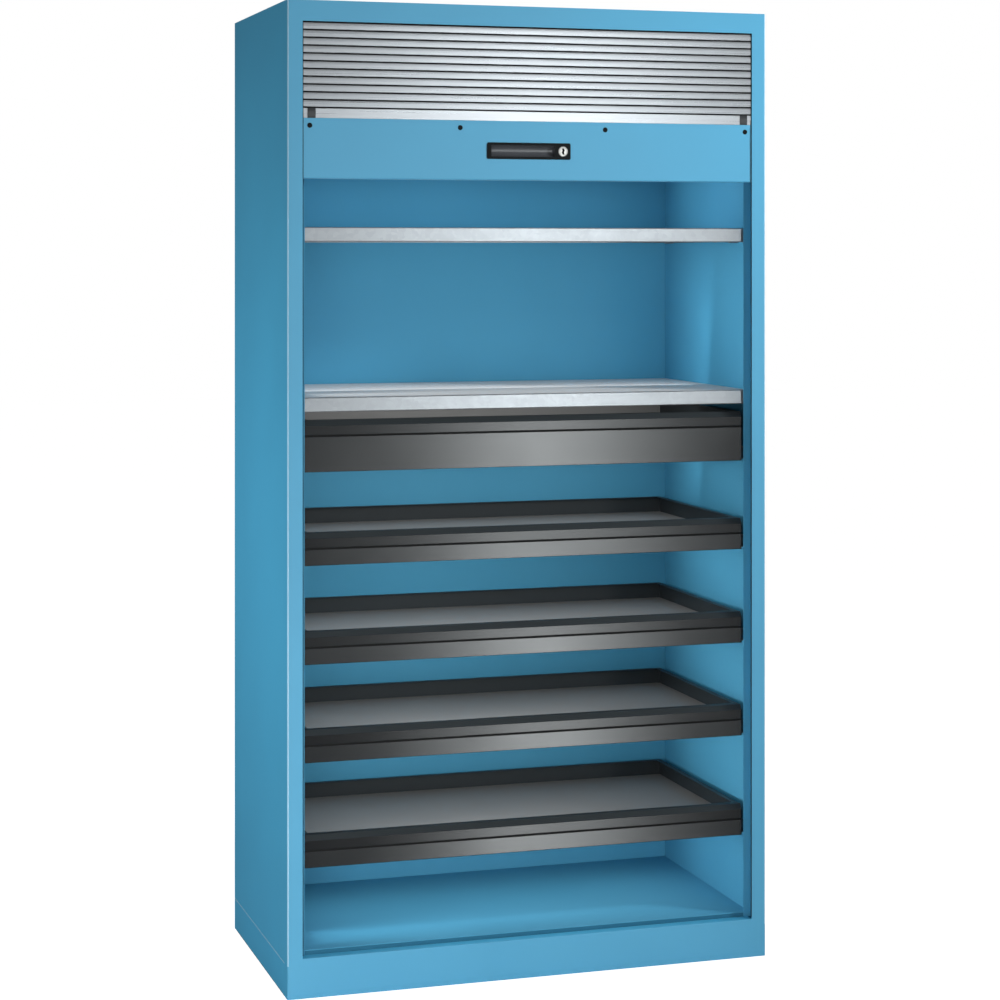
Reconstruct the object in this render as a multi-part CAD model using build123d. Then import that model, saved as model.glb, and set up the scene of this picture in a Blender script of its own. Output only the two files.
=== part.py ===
from build123d import *
import math
import os

# Roll front tool cabinet. Millimetres, +Z up, the front looks along -Y.
# The origin is the centre of the footprint on the floor. Depths are counted
# from the front plane towards the rear and turned into Y by y_at().

# ---- casing ----
WIDTH = 1000.0
DEPTH = 580.0
HEIGHT = 1950.0
SKIN = 1.5                 # outer casing sheet
LINER = 1.25               # inner wall sheet
STILE = 30.0               # width of the folded front stiles
BEND = 2.5                 # outside radius of the folded front corners
REAR_FLANGE = 15.0
TOP_RAIL = 41.0            # height of the rail above the opening
TOP_FOLD = 18.0            # depth of the folds under the top panel
SILL = 78.0                # height of the rail below the opening
SILL_TREAD = 1.8           # tread past the back of the guides
SILL_RETURN = 30.0         # the sill wraps round both corners by this much
SILL_LIP = 18.0
PLINTH = 65.0
PLINTH_FOOT = 25.0         # flange that the plinth stands on
SEAM = 0.4                 # joint between plinth and side panel
FLOOR_TOP = 87.0
FLOOR_SKIRT = 16.0
CHANNEL_FLANGE = 40.0
CHANNEL_INSET = 14.0
SIDE_GAP = 25.0            # outer face of the side to the inner wall
REAR_GAP = 25.0
WALL_RETURN = 15.0         # stiffening fold of the inner walls
WALL_HEAD = 45.0           # top of the cabinet to the inner walls

# ---- guide rails ----
SLAT_LAP = 10.0            # slat end behind the stile
END_PLAY = 0.6             # slat end to guide web
GUIDE_LAP = 9.0            # rear lip of the guide, seen beside the stile
GUIDE_SHEET = 1.5

# ---- curtain ----
PITCH = 15.2
SLAT_FACE = 13.2           # visible height of a slat
SLAT_THICK = 2.6
SLAT_TONGUE = 1.1
TONGUE_REACH = 2.7
SHIPLAP_PLAY = 0.3
EDGE_BREAK = 0.5
CURTAIN_DEPTH = 2.3        # front plane of the curtain
LAYER_GAP = 0.6            # between one stored section and the next
SECTIONS = 6               # stored stretches behind the lead stretch
SECTION_CLEAR = 3.0        # stored stretches above the handle
PANEL_DROP = 308.0         # lower edge of the top rail to the foot of the panel
SILL_CLEAR = 2.0
PANEL_HEIGHT = 118.5
PANEL_SHEET = 1.5
PANEL_FOLD = 17.0
PANEL_LIP = 12.0
END_SLAT = 22.0
END_SKIRT = 24.0
STOP_WIDTH = 16.0
STOP_EDGE = 10.0           # stile to stop block
STOP_THICK = 1.8
BUTTONS = 4
BUTTON_EDGE = 14.5         # stile to the first button
BUTTON_DROP = 14.5         # top of the panel to the buttons
BUTTON_D = 10.0
BUTTON_HEAD = 1.0
BUTTON_SHANK = 4.5         # square neck
HOLE_PLAY = 0.1

# ---- handle and lock ----
HANDLE_LEFT = -97.0
HANDLE_WIDTH = 175.0
HANDLE_RISE = 42.5         # foot of the panel to the plate
HANDLE_HEIGHT = 33.0
HANDLE_PROUD = 1.5
HANDLE_DEEP = 13.0
HANDLE_CORNER = 3.0
HANDLE_FRAME = 3.0         # the plate overlaps its cut-out by this much
RECESS_INSET = 9.0
RECESS_WIDTH = 133.0
RECESS_HEIGHT = 23.0
RECESS_DEEP = 10.0
LOCK_INSET = 16.0          # right end of the plate to the lock
LOCK_D = 20.0
LOCK_PROUD = 0.4
PLUG_D = 15.0
PLUG_PLAY = 0.05
KEY_SLOT = 2.4
KEY_HEIGHT = 9.0
KEY_DEEP = 8.0
CAM_LENGTH = 26.0
CAM_WIDTH = 10.0
CAM_THICK = 2.0
ROD_HEIGHT = 12.0
ROD_THICK = 2.4
ROD_PLAY = 0.4
ROD_CLEAR = 4.6            # withdrawn rod tip to guide web
ROD_SPLIT = 4.0            # gap between the two rods at the cam
ROD_BEHIND = 1.2           # rods behind the cam
ROD_GUIDE_EDGE = 40.0      # stile to the outer rod guide
ROD_GUIDE_STEP = 210.0
ROD_GUIDE_WIDTH = 4.0
ROD_GUIDE_WALL = 3.0

# ---- curtain box and counterbalance ----
COVER_RISE = 42.0          # foot of the open panel to the cover
COVER_GAP = 3.8            # guides to the front of the cover
COVER_LENGTH = 270.0
COVER_LIP = 15.0
SHAFT_DROP = 150.0         # top of the cabinet to the shaft
SHAFT_DEPTH = 160.0
TUBE_D = 50.0
TUBE_WALL = 2.0
TUBE_GAP = 32.0            # bracket to tube
AXLE_D = 20.0
AXLE_PLAY = 0.1
BEARING_WIDTH = 14.0
SPRING_D = 40.0
SPRING_BORE = 26.0
SPRING_INNER = 60.0
SPRING_LENGTH = 300.0
SPRING_COLLAR = 12.0
DRUM_D = 100.0
DRUM_HUB = 76.0
DRUM_WIDTH = 40.0
DRUM_FLANGE = 3.0
DRUM_INSET = 140.0         # end of the tube to the middle of the drum
DRUM_SIDES = 24            # flats in place of each round of drum, spring and bearing
BRACKET_WIDTH = 90.0
BRACKET_SHEET = 3.0
BRACKET_CORNER = 8.0

# ---- shelves ----
SHELF_TOPS = {"upper": 1506.5, "lower": 1170.8}
SHELF_EDGE = 29.0
SHELF_SHEET = 1.25
SHELF_SETBACK = 7.8        # guides to the front of the shelves
SHELF_REAR_PLAY = 6.0
SHELF_SIDE_PLAY = 1.5      # filled by the clips
SHELF_RETURN = 14.0
CLIP_REACH = 18.0
CLIP_RISE = 20.0           # leg of a clip beside the shelf's side
CLIP_WIDTH = 12.0
CLIP_INSET = 60.0

# ---- drawer and trays ----
DRAWERS = {                # name: (bottom of the front, top of its label strip)
    "drawer": (1024.0, 91.0),
    "tray_1": (840.0, 53.0),
    "tray_2": (645.5, 53.0),
    "tray_3": (452.5, 53.0),
    "tray_4": (246.0, 53.0),
}
FRONT_PLAY = 1.0           # front to guide lip, each side
FRONT_SETBACK = 6.8        # guides to the drawer fronts
FRONT_THICK = 13.0
FRONT_SHEET = 1.5
LABEL_STRIP = 18.5
GROOVE = 3.0
GROOVE_DEEP = 3.0
SLOPE_RISE = 11.0
SLOPE_RUN = 8.0
FRONT_HEM = 11.0
TRAY_SHEET = 1.25
TRAY_LIFT = 29.0           # bottom of the front to the tray's underside
TRAY_RIM = 12.0
TRAY_REAR_PLAY = 10.0      # tray to inner rear wall

# ---- roller slides ----
RUNNER = 25.0              # height of the cabinet and tray rails
RUNNER_SHEET = 1.5
RUNNER_LIFT = 3.0          # bottom of the front to the cabinet rail
RUNNER_REACH = 12.7        # inner wall to the open edge of the cabinet rail
RUNNER_SETBACK = 13.8      # guides to the cabinet rails
CARRIAGE_PLAY = 0.7        # carriage bar to guide lip
BAR_THICK = 2.0
BAR_HEIGHT = 13.0
BAR_SETBACK = 14.0         # tray front to the carriage bar
BAR_LENGTH = 440.0
TRAY_RAIL_PLAY = 1.0
TRAY_RAIL_REACH = 13.8
ROLLER_PLAY = 0.3
ROLLER_SIDE_PLAY = 0.8
ROLLER_SIDES = 12
STUB_D = 8.0
STUB_SIDES = 6
STUB_LENGTH = 0.9
OUTER_ROLLERS = (230.0, 420.0)   # along the bar, from its front end
INNER_ROLLERS = (20.0, 210.0)

# ---- sizes that follow ----
HALF = WIDTH / 2
OPEN_HALF = HALF - STILE
OPEN_TOP = HEIGHT - TOP_RAIL
WALL_X = HALF - SIDE_GAP
REAR_WALL = DEPTH - REAR_GAP
INSIDE_X = HALF - SKIN
SLAT_REACH = OPEN_HALF + SLAT_LAP
GUIDE_LIP = OPEN_HALF - GUIDE_LAP
GUIDE_WEB = SLAT_REACH + END_PLAY
LAYER = SLAT_THICK + LAYER_GAP
GUIDE_FRONT = CURTAIN_DEPTH + SECTIONS * LAYER + SLAT_THICK + END_PLAY
GUIDE_BACK = GUIDE_FRONT + GUIDE_SHEET
GUIDE_HEAD = HEIGHT - 2 * SKIN
WALL_TOP = HEIGHT - WALL_HEAD
SILL_DEPTH = GUIDE_BACK + SILL_TREAD

PANEL_BOTTOM = OPEN_TOP - PANEL_DROP
PANEL_TOP = PANEL_BOTTOM + PANEL_HEIGHT
BUTTON_Z = PANEL_TOP - BUTTON_DROP
BUTTON_STEP = 2 * (OPEN_HALF - BUTTON_EDGE) / (BUTTONS - 1)
BUTTON_X = [BUTTON_EDGE - OPEN_HALF + index * BUTTON_STEP for index in range(BUTTONS)]
HANDLE_BOTTOM = PANEL_BOTTOM + HANDLE_RISE
HANDLE_TOP = HANDLE_BOTTOM + HANDLE_HEIGHT
HANDLE_RIGHT = HANDLE_LEFT + HANDLE_WIDTH
LOCK_X = HANDLE_RIGHT - LOCK_INSET
LOCK_Z = (HANDLE_BOTTOM + HANDLE_TOP) / 2
LEAD_BOTTOM = PANEL_TOP + END_SLAT
LEAD_SLATS = math.floor((GUIDE_HEAD - TONGUE_REACH - LEAD_BOTTOM) / PITCH)
LEAD_TOP = LEAD_BOTTOM + LEAD_SLATS * PITCH
SECTION_SLATS = math.floor((LEAD_TOP - HANDLE_TOP - SECTION_CLEAR) / PITCH)
TRAVEL_SLATS = math.floor((PANEL_BOTTOM - SILL - SILL_CLEAR) / PITCH)
TRAVEL = TRAVEL_SLATS * PITCH          # roll front, open to closed

CAM_BACK = CURTAIN_DEPTH + HANDLE_DEEP + CAM_THICK
ROD_FRONT = CAM_BACK + ROD_BEHIND
ROD_BACK = ROD_FRONT + ROD_THICK
ROD_TIP = GUIDE_WEB - ROD_CLEAR
ROD_GUIDE_X = OPEN_HALF - ROD_GUIDE_EDGE

SHAFT_Z = HEIGHT - SHAFT_DROP
TUBE_HALF = WALL_X - BRACKET_SHEET - TUBE_GAP
DRUM_X = TUBE_HALF - DRUM_INSET
COVER_FRONT = GUIDE_BACK + COVER_GAP
COVER_BOTTOM = PANEL_BOTTOM + COVER_RISE
SHELF_FRONT = GUIDE_BACK + SHELF_SETBACK

FRONT_HALF = GUIDE_LIP - FRONT_PLAY
FRONT_DEPTH = GUIDE_BACK + FRONT_SETBACK
TRAY_FRONT = FRONT_DEPTH + FRONT_THICK
TRAY_REAR = REAR_WALL - TRAY_REAR_PLAY
RUNNER_FRONT = GUIDE_BACK + RUNNER_SETBACK
BAR_FRONT = TRAY_FRONT + BAR_SETBACK
BAR_OUTER = GUIDE_LIP - CARRIAGE_PLAY
BAR_INNER = BAR_OUTER - BAR_THICK
TRAY_RAIL_OPEN = BAR_INNER - TRAY_RAIL_PLAY
TRAY_RAIL_WEB = TRAY_RAIL_OPEN - TRAY_RAIL_REACH
ROLLER_D = RUNNER - 2 * RUNNER_SHEET - 2 * ROLLER_PLAY


def y_at(depth):
    """Y of a plane that lies a depth behind the front."""
    return depth - DEPTH / 2


def block(x0, x1, d0, d1, z0, z1):
    """Straight block between two X, two depths and two heights."""
    corner = Location((x0, y_at(d0), z0))
    return Box(x1 - x0, d1 - d0, z1 - z0, align=(Align.MIN, Align.MIN, Align.MIN)).moved(corner)


def rod_x(x0, x1, depth, z, diameter):
    """Round bar along X."""
    bar = Cylinder(diameter / 2, x1 - x0, rotation=(0, 90, 0))
    return bar.moved(Location(((x0 + x1) / 2, y_at(depth), z)))


def rod_y(x, z, d0, d1, diameter):
    """Round bar along the depth."""
    bar = Cylinder(diameter / 2, d1 - d0, rotation=(90, 0, 0))
    return bar.moved(Location((x, y_at((d0 + d1) / 2), z)))


def many_sided_x(x0, x1, depth, z, diameter, sides):
    """Bar along X with flats in place of a round, for pieces that repeat."""
    turns = [2 * math.pi * (index + 0.5) / sides for index in range(sides)]
    radius = diameter / 2
    return along_x([(depth + radius * math.cos(a), z + radius * math.sin(a)) for a in turns], x0, x1)


def over_flats(diameter):
    """Corner diameter of a many-sided bore whose flats clear a round bar."""
    return diameter / math.cos(math.pi / DRUM_SIDES)


def shaft_piece(x0, x1, diameter):
    """Many-sided bar on the axis of the counterbalance shaft."""
    return many_sided_x(x0, x1, SHAFT_DEPTH, SHAFT_Z, diameter, DRUM_SIDES)


def extruded(points, direction, length):
    """Prism on a closed outline of 3-D points."""
    outline = make_face(Polyline(*points, close=True))
    return extrude(outline, amount=length, dir=direction)


def along_x(outline, x0, x1):
    """Prism along X on an outline of (depth, z) points."""
    points = [(x0, y_at(depth), z) for depth, z in outline]
    return extruded(points, (1, 0, 0), x1 - x0)


def along_y(outline, d0, d1):
    """Prism along the depth on an outline of (x, z) points."""
    points = [(x, y_at(d0), z) for x, z in outline]
    return extruded(points, (0, 1, 0), d1 - d0)


def along_z(outline, z0, z1):
    """Prism along Z on an outline of (x, depth) points."""
    points = [(x, y_at(depth), z0) for x, depth in outline]
    return extruded(points, (0, 0, 1), z1 - z0)


def folded(path, sheet):
    """Outline of a folded sheet: the path is one face, the sheet lies to its left."""
    directions = []
    for (u0, v0), (u1, v1) in zip(path, path[1:]):
        length = math.hypot(u1 - u0, v1 - v0)
        directions.append(((u1 - u0) / length, (v1 - v0) / length))
    other = []
    for index, (u, v) in enumerate(path):
        before = directions[max(index - 1, 0)]
        after = directions[min(index, len(directions) - 1)]
        lean = 1 + before[0] * after[0] + before[1] * after[1]
        shift_u = -(before[1] + after[1]) * sheet / lean
        shift_v = (before[0] + after[0]) * sheet / lean
        other.append((u + shift_u, v + shift_v))
    return list(path) + other[::-1]


def folded_inward(path, sheet):
    """Outline of a folded sheet that lies to the right of its path."""
    return folded(path[::-1], sheet)


def mirrored(shape):
    """The same piece on the other side of the cabinet."""
    return mirror(shape, about=Plane.YZ)


def both_sides(shape):
    """A right-hand piece with its left-hand twin."""
    return [shape, mirrored(shape)]


def write(node, solids):
    """Write one sub-part to its own STEP file."""
    shape = solids[0] if len(solids) == 1 else Compound(children=list(solids))
    shape.label = node
    export_step(shape, f"parts/{node}.step")


# ---------------------------------------------------------------- casing
def side_panel():
    """Right-hand side: skin, front stile with a rounded corner, rear flange."""
    path = [(OPEN_HALF, 0), (HALF, 0), (HALF, DEPTH), (HALF - REAR_FLANGE, DEPTH)]
    panel = along_z(folded(path, SKIN), PLINTH, HEIGHT)
    corner = panel.edges().filter_by(Axis.Z).sort_by_distance((HALF, y_at(0), HEIGHT / 2))[0]
    return fillet(corner, BEND)


def sill():
    """Front bottom rail: face, wrapped corners, top tread and rear lip."""
    path = [(-HALF, SILL_RETURN), (-HALF, 0), (HALF, 0), (HALF, SILL_RETURN)]
    face = along_z(folded(path, SKIN), 0, PLINTH)
    corners = [
        face.edges().filter_by(Axis.Z).sort_by_distance((side * HALF, y_at(0), PLINTH / 2))[0]
        for side in (-1, 1)
    ]
    face = fillet(corners, BEND)
    upper = block(-OPEN_HALF, OPEN_HALF, 0, SKIN, PLINTH, SILL)
    tread = block(-INSIDE_X, INSIDE_X, SKIN, SILL_DEPTH, SILL - SKIN, SILL)
    lip = block(-INSIDE_X, INSIDE_X, SILL_DEPTH - SKIN, SILL_DEPTH, SILL - SILL_LIP, SILL)
    web = block(-INSIDE_X, INSIDE_X, SKIN, 2 * SKIN, PLINTH - SILL_LIP, SILL)
    return face + upper + tread + lip + web


def plinth():
    """Sides and rear of the plinth with an inward foot flange."""
    path = [(HALF, SILL_RETURN), (HALF, DEPTH), (-HALF, DEPTH), (-HALF, SILL_RETURN)]
    walls = along_z(folded(path, SKIN), 0, PLINTH - SEAM)
    foot = along_z(folded(path, PLINTH_FOOT), 0, SKIN)
    return walls + foot


def base_channels():
    """Two channels under the floor panel that carry it to the ground."""
    top = FLOOR_TOP - LINER
    outer = HALF - PLINTH_FOOT - CHANNEL_INSET
    inner = outer - CHANNEL_FLANGE
    path = [(outer, 0), (inner, 0), (inner, top), (outer, top)]
    channel = along_y(folded_inward(path, SKIN), SILL_DEPTH + LINER, DEPTH - PLINTH_FOOT - CHANNEL_INSET)
    return both_sides(channel)


def floor_panel():
    """Floor of the inside, with a step at the front and a fold at the rear."""
    front = SILL_DEPTH
    rear = DEPTH - 2 * SKIN
    low = FLOOR_TOP - FLOOR_SKIRT
    path = [(front, low), (front, FLOOR_TOP), (rear, FLOOR_TOP), (rear, low)]
    return along_x(folded_inward(path, LINER), -INSIDE_X, INSIDE_X)


def top_panel():
    """Top sheet between the side panels, folded down along both sides."""
    low = HEIGHT - TOP_FOLD
    path = [(-INSIDE_X, low), (-INSIDE_X, HEIGHT), (INSIDE_X, HEIGHT), (INSIDE_X, low)]
    return along_y(folded_inward(path, SKIN), SKIN, DEPTH - SKIN)


def top_rail():
    """Front rail above the opening, with a flange under the top panel."""
    face = block(-OPEN_HALF, OPEN_HALF, 0, SKIN, OPEN_TOP, HEIGHT)
    flange = block(-OPEN_HALF, OPEN_HALF, SKIN, TOP_FOLD, HEIGHT - 2 * SKIN, HEIGHT - SKIN)
    return face + flange


def rear_panel():
    """Flat rear sheet between the side panels' flanges, screwed to them."""
    reach = INSIDE_X - SKIN
    return block(-reach, reach, DEPTH - 2 * SKIN, DEPTH - SKIN, PLINTH, HEIGHT - SKIN)


def side_wall():
    """Right-hand inner wall with a return fold at the front and the rear."""
    front, rear = GUIDE_BACK, REAR_WALL
    path = [(WALL_X + WALL_RETURN, front), (WALL_X, front), (WALL_X, rear), (WALL_X + WALL_RETURN, rear)]
    return along_z(folded_inward(path, LINER), FLOOR_TOP, WALL_TOP)


def rear_wall():
    """Inner rear wall."""
    reach = WALL_X + WALL_RETURN
    return block(-reach, reach, REAR_WALL, REAR_WALL + LINER, FLOOR_TOP, WALL_TOP)


def guide_rail():
    """Right-hand guide: web beside the slat ends and a lip behind them."""
    path = [(GUIDE_WEB + GUIDE_SHEET, SKIN), (GUIDE_WEB + GUIDE_SHEET, GUIDE_BACK), (GUIDE_LIP, GUIDE_BACK)]
    rail = along_z(folded(path, GUIDE_SHEET), SILL, GUIDE_HEAD)
    for height in (LOCK_Z, LOCK_Z - TRAVEL):
        rail -= keeper_hole(height)
    return rail


def keeper_hole(height):
    """Cutter for the hole in a guide web that takes a lock rod."""
    play = 2 * ROD_PLAY
    return block(
        GUIDE_WEB - GUIDE_SHEET, GUIDE_WEB + 2 * GUIDE_SHEET,
        ROD_FRONT - play, ROD_BACK + play,
        height - ROD_HEIGHT / 2 - play, height + ROD_HEIGHT / 2 + play,
    )


# ---------------------------------------------------------------- curtain
def slat(front, bottom):
    """One shiplapped slat: face, tongue at the top, rebate at the foot."""
    rebate = SLAT_THICK - SLAT_TONGUE - SHIPLAP_PLAY
    notch = TONGUE_REACH + 2 * SHIPLAP_PLAY
    outline = [
        (front, bottom + EDGE_BREAK),
        (front + EDGE_BREAK, bottom),
        (front + rebate, bottom),
        (front + rebate, bottom + notch),
        (front + SLAT_THICK, bottom + notch),
        (front + SLAT_THICK, bottom + PITCH + TONGUE_REACH),
        (front + SLAT_THICK - SLAT_TONGUE, bottom + PITCH + TONGUE_REACH),
        (front + SLAT_THICK - SLAT_TONGUE, bottom + SLAT_FACE),
        (front + EDGE_BREAK, bottom + SLAT_FACE),
        (front, bottom + SLAT_FACE - EDGE_BREAK),
    ]
    return along_x(outline, -SLAT_REACH, SLAT_REACH)


def section(layer):
    """One stored stretch of the curtain, its top level with the lead stretch's."""
    front = CURTAIN_DEPTH + layer * LAYER
    bottom = LEAD_TOP - SECTION_SLATS * PITCH
    return [slat(front, bottom + index * PITCH) for index in range(SECTION_SLATS)]


def lead_slats():
    """The slats above the end slat."""
    return [slat(CURTAIN_DEPTH, LEAD_BOTTOM + index * PITCH) for index in range(LEAD_SLATS)]


def end_slat():
    """Taller last slat, with a skirt behind the pull panel that the buttons clamp."""
    front = CURTAIN_DEPTH
    back = front + SLAT_THICK
    joint = LEAD_BOTTOM - (PITCH - SLAT_FACE)
    outline = [
        (front, PANEL_TOP),
        (back - SLAT_TONGUE, PANEL_TOP),
        (back - SLAT_TONGUE, PANEL_TOP - END_SKIRT),
        (back, PANEL_TOP - END_SKIRT),
        (back, LEAD_BOTTOM + TONGUE_REACH),
        (back - SLAT_TONGUE, LEAD_BOTTOM + TONGUE_REACH),
        (back - SLAT_TONGUE, joint),
        (front, joint),
    ]
    body = along_x(outline, -SLAT_REACH, SLAT_REACH)
    for x in BUTTON_X:
        body -= button_neck(x, front, back + SKIN, BUTTON_SHANK + 2 * HOLE_PLAY)
    return body


def button_neck(x, d0, d1, width):
    """Square bar on a button's axis: the neck, or the cutter for its hole."""
    return block(x - width / 2, x + width / 2, d0, d1, BUTTON_Z - width / 2, BUTTON_Z + width / 2)


def stop_blocks():
    """Two dark stops on the face of the end slat."""
    top = LEAD_BOTTOM - (PITCH - SLAT_FACE)
    outer = OPEN_HALF - STOP_EDGE
    stop = block(
        outer - STOP_WIDTH, outer,
        CURTAIN_DEPTH - STOP_THICK, CURTAIN_DEPTH, PANEL_TOP, top,
    )
    stop = chamfer(stop.faces().sort_by(Axis.Y)[0].edges(), EDGE_BREAK)
    return both_sides(stop)


def pull_panel():
    """Painted sheet under the end slat, folded back at its foot."""
    front = CURTAIN_DEPTH
    back = front + PANEL_FOLD
    low = PANEL_BOTTOM
    path = [(front, PANEL_TOP), (front, low), (back, low), (back, low + PANEL_LIP)]
    panel = along_x(folded(path, PANEL_SHEET), -SLAT_REACH, SLAT_REACH)
    for x in BUTTON_X:
        panel -= button_neck(x, 0, front + 2 * PANEL_SHEET, BUTTON_SHANK + 2 * HOLE_PLAY)
    frame = HANDLE_FRAME - HOLE_PLAY
    panel -= block(
        HANDLE_LEFT + frame, HANDLE_RIGHT - frame, 0, front + 2 * PANEL_SHEET,
        HANDLE_BOTTOM + frame, HANDLE_TOP - frame,
    )
    return panel


def panel_buttons():
    """Round buttons through the panel and the end slat's skirt."""
    buttons = []
    for x in BUTTON_X:
        head = rod_y(x, BUTTON_Z, CURTAIN_DEPTH - BUTTON_HEAD, CURTAIN_DEPTH, BUTTON_D)
        neck = button_neck(x, CURTAIN_DEPTH, CURTAIN_DEPTH + SLAT_THICK, BUTTON_SHANK)
        buttons.append(head + neck)
    return buttons


def handle_housing():
    """Moulded plate with a scooped finger recess and a seat for the lock."""
    front = CURTAIN_DEPTH - HANDLE_PROUD
    back = CURTAIN_DEPTH + HANDLE_DEEP
    plate = block(HANDLE_LEFT, HANDLE_RIGHT, front, CURTAIN_DEPTH, HANDLE_BOTTOM, HANDLE_TOP)
    plate = fillet(plate.edges().filter_by(Axis.Y), HANDLE_CORNER)
    body = block(
        HANDLE_LEFT + HANDLE_FRAME, HANDLE_RIGHT - HANDLE_FRAME, CURTAIN_DEPTH, back,
        HANDLE_BOTTOM + HANDLE_FRAME, HANDLE_TOP - HANDLE_FRAME,
    )
    radius = (RECESS_HEIGHT ** 2 / 4 + RECESS_DEEP ** 2) / (2 * RECESS_DEEP)
    scoop_left = HANDLE_LEFT + RECESS_INSET
    scoop = rod_x(
        scoop_left, scoop_left + RECESS_WIDTH,
        front + RECESS_DEEP - radius, LOCK_Z, 2 * radius,
    )
    lock_seat = rod_y(LOCK_X, LOCK_Z, 0, 2 * back, LOCK_D + 2 * HOLE_PLAY)
    return plate + body - scoop - lock_seat


def lock_body():
    """Barrel of the lock, held in the handle housing."""
    front = CURTAIN_DEPTH - HANDLE_PROUD - LOCK_PROUD
    barrel = rod_y(LOCK_X, LOCK_Z, front, CURTAIN_DEPTH + HANDLE_DEEP, LOCK_D)
    bore = rod_y(LOCK_X, LOCK_Z, 0, 2 * HANDLE_DEEP, PLUG_D + 2 * PLUG_PLAY)
    return barrel - bore


def lock_plug():
    """Turning plug with its key slot."""
    front = CURTAIN_DEPTH - HANDLE_PROUD - LOCK_PROUD
    plug = rod_y(LOCK_X, LOCK_Z, front, CURTAIN_DEPTH + HANDLE_DEEP, PLUG_D)
    slot = block(
        LOCK_X - KEY_SLOT / 2, LOCK_X + KEY_SLOT / 2, 0, KEY_DEEP,
        LOCK_Z - KEY_HEIGHT / 2, LOCK_Z + KEY_HEIGHT / 2,
    )
    return plug - slot


def lock_cam():
    """Lever on the rear end of the plug."""
    cam = block(
        LOCK_X - CAM_WIDTH / 2, LOCK_X + CAM_WIDTH / 2, CAM_BACK - CAM_THICK, CAM_BACK,
        LOCK_Z - CAM_LENGTH / 2, LOCK_Z + CAM_LENGTH / 2,
    )
    return fillet(cam.edges().filter_by(Axis.Y), CAM_WIDTH / 2 - EDGE_BREAK)


def lock_rod(side):
    """Flat rod from the cam to one guide rail."""
    root = LOCK_X + side * ROD_SPLIT / 2
    tip = side * ROD_TIP
    return block(
        min(root, tip), max(root, tip),
        ROD_FRONT, ROD_BACK,
        LOCK_Z - ROD_HEIGHT / 2, LOCK_Z + ROD_HEIGHT / 2,
    )


def rod_guides():
    """Bridges on the back of the pull panel that the rods slide in."""
    back = ROD_BACK + ROD_PLAY
    low = LOCK_Z - ROD_HEIGHT / 2 - ROD_PLAY
    high = LOCK_Z + ROD_HEIGHT / 2 + ROD_PLAY
    guides = []
    for x in (ROD_GUIDE_X, ROD_GUIDE_X - ROD_GUIDE_STEP):
        right = x + ROD_GUIDE_WIDTH
        bridge = block(
            x, right, CURTAIN_DEPTH + PANEL_SHEET, back + SKIN,
            low - ROD_GUIDE_WALL, high + ROD_GUIDE_WALL,
        )
        slot = block(x, right, ROD_FRONT - ROD_PLAY, back, low, high)
        guides += both_sides(bridge - slot)
    return guides


# ---------------------------------------------------------------- counterbalance
def box_cover():
    """Sheet that closes the curtain box below and behind."""
    path = [
        (COVER_FRONT, COVER_BOTTOM + COVER_LIP), (COVER_FRONT, COVER_BOTTOM),
        (COVER_FRONT + COVER_LENGTH, COVER_BOTTOM), (COVER_FRONT + COVER_LENGTH, WALL_TOP),
    ]
    return along_x(folded(path, LINER), -WALL_X, WALL_X)


def shaft_brackets():
    """Plates on the inner walls that hold the axle."""
    reach = BRACKET_WIDTH / 2
    plate = block(
        WALL_X - BRACKET_SHEET, WALL_X, SHAFT_DEPTH - reach, SHAFT_DEPTH + reach,
        SHAFT_Z - reach, SHAFT_Z + reach,
    )
    plate = chamfer(plate.edges().filter_by(Axis.X), BRACKET_CORNER)
    plate -= shaft_piece(TUBE_HALF, HALF, over_flats(AXLE_D + 2 * HOLE_PLAY))
    return both_sides(plate)


def shaft_axle():
    """Fixed axle from bracket to bracket."""
    return rod_x(-WALL_X, WALL_X, SHAFT_DEPTH, SHAFT_Z, AXLE_D)


def spring_shaft():
    """Turning tube round the axle, with a bearing ring in each end."""
    tube = rod_x(-TUBE_HALF, TUBE_HALF, SHAFT_DEPTH, SHAFT_Z, TUBE_D)
    bore = rod_x(-TUBE_HALF, TUBE_HALF, SHAFT_DEPTH, SHAFT_Z, TUBE_D - 2 * TUBE_WALL)
    return tube - bore


def shaft_bearings():
    """Bearing rings between tube and axle."""
    left = TUBE_HALF - BEARING_WIDTH
    ring = shaft_piece(left, TUBE_HALF, TUBE_D - 2 * TUBE_WALL - 2 * PLUG_PLAY)
    bore = shaft_piece(left, TUBE_HALF, over_flats(AXLE_D + 2 * AXLE_PLAY))
    return both_sides(ring - bore)


def balance_springs():
    """Wound springs inside the tube, each clamped to the axle at its inner end."""
    end = SPRING_INNER + SPRING_LENGTH
    coil = shaft_piece(SPRING_INNER, end, SPRING_D)
    bore = shaft_piece(SPRING_INNER + SPRING_COLLAR, end, SPRING_BORE)
    collar = shaft_piece(SPRING_INNER, end, over_flats(AXLE_D + 2 * HOLE_PLAY))
    return both_sides(coil - bore - collar)


def belt_drums():
    """Flanged drums for the lifting belts."""
    left, right = DRUM_X - DRUM_WIDTH / 2, DRUM_X + DRUM_WIDTH / 2
    hub = shaft_piece(left, right, DRUM_HUB)
    near = shaft_piece(left, left + DRUM_FLANGE, DRUM_D)
    far = shaft_piece(right - DRUM_FLANGE, right, DRUM_D)
    bore = shaft_piece(left, right, over_flats(TUBE_D + 2 * PLUG_PLAY))
    return both_sides(hub + near + far - bore)


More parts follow.
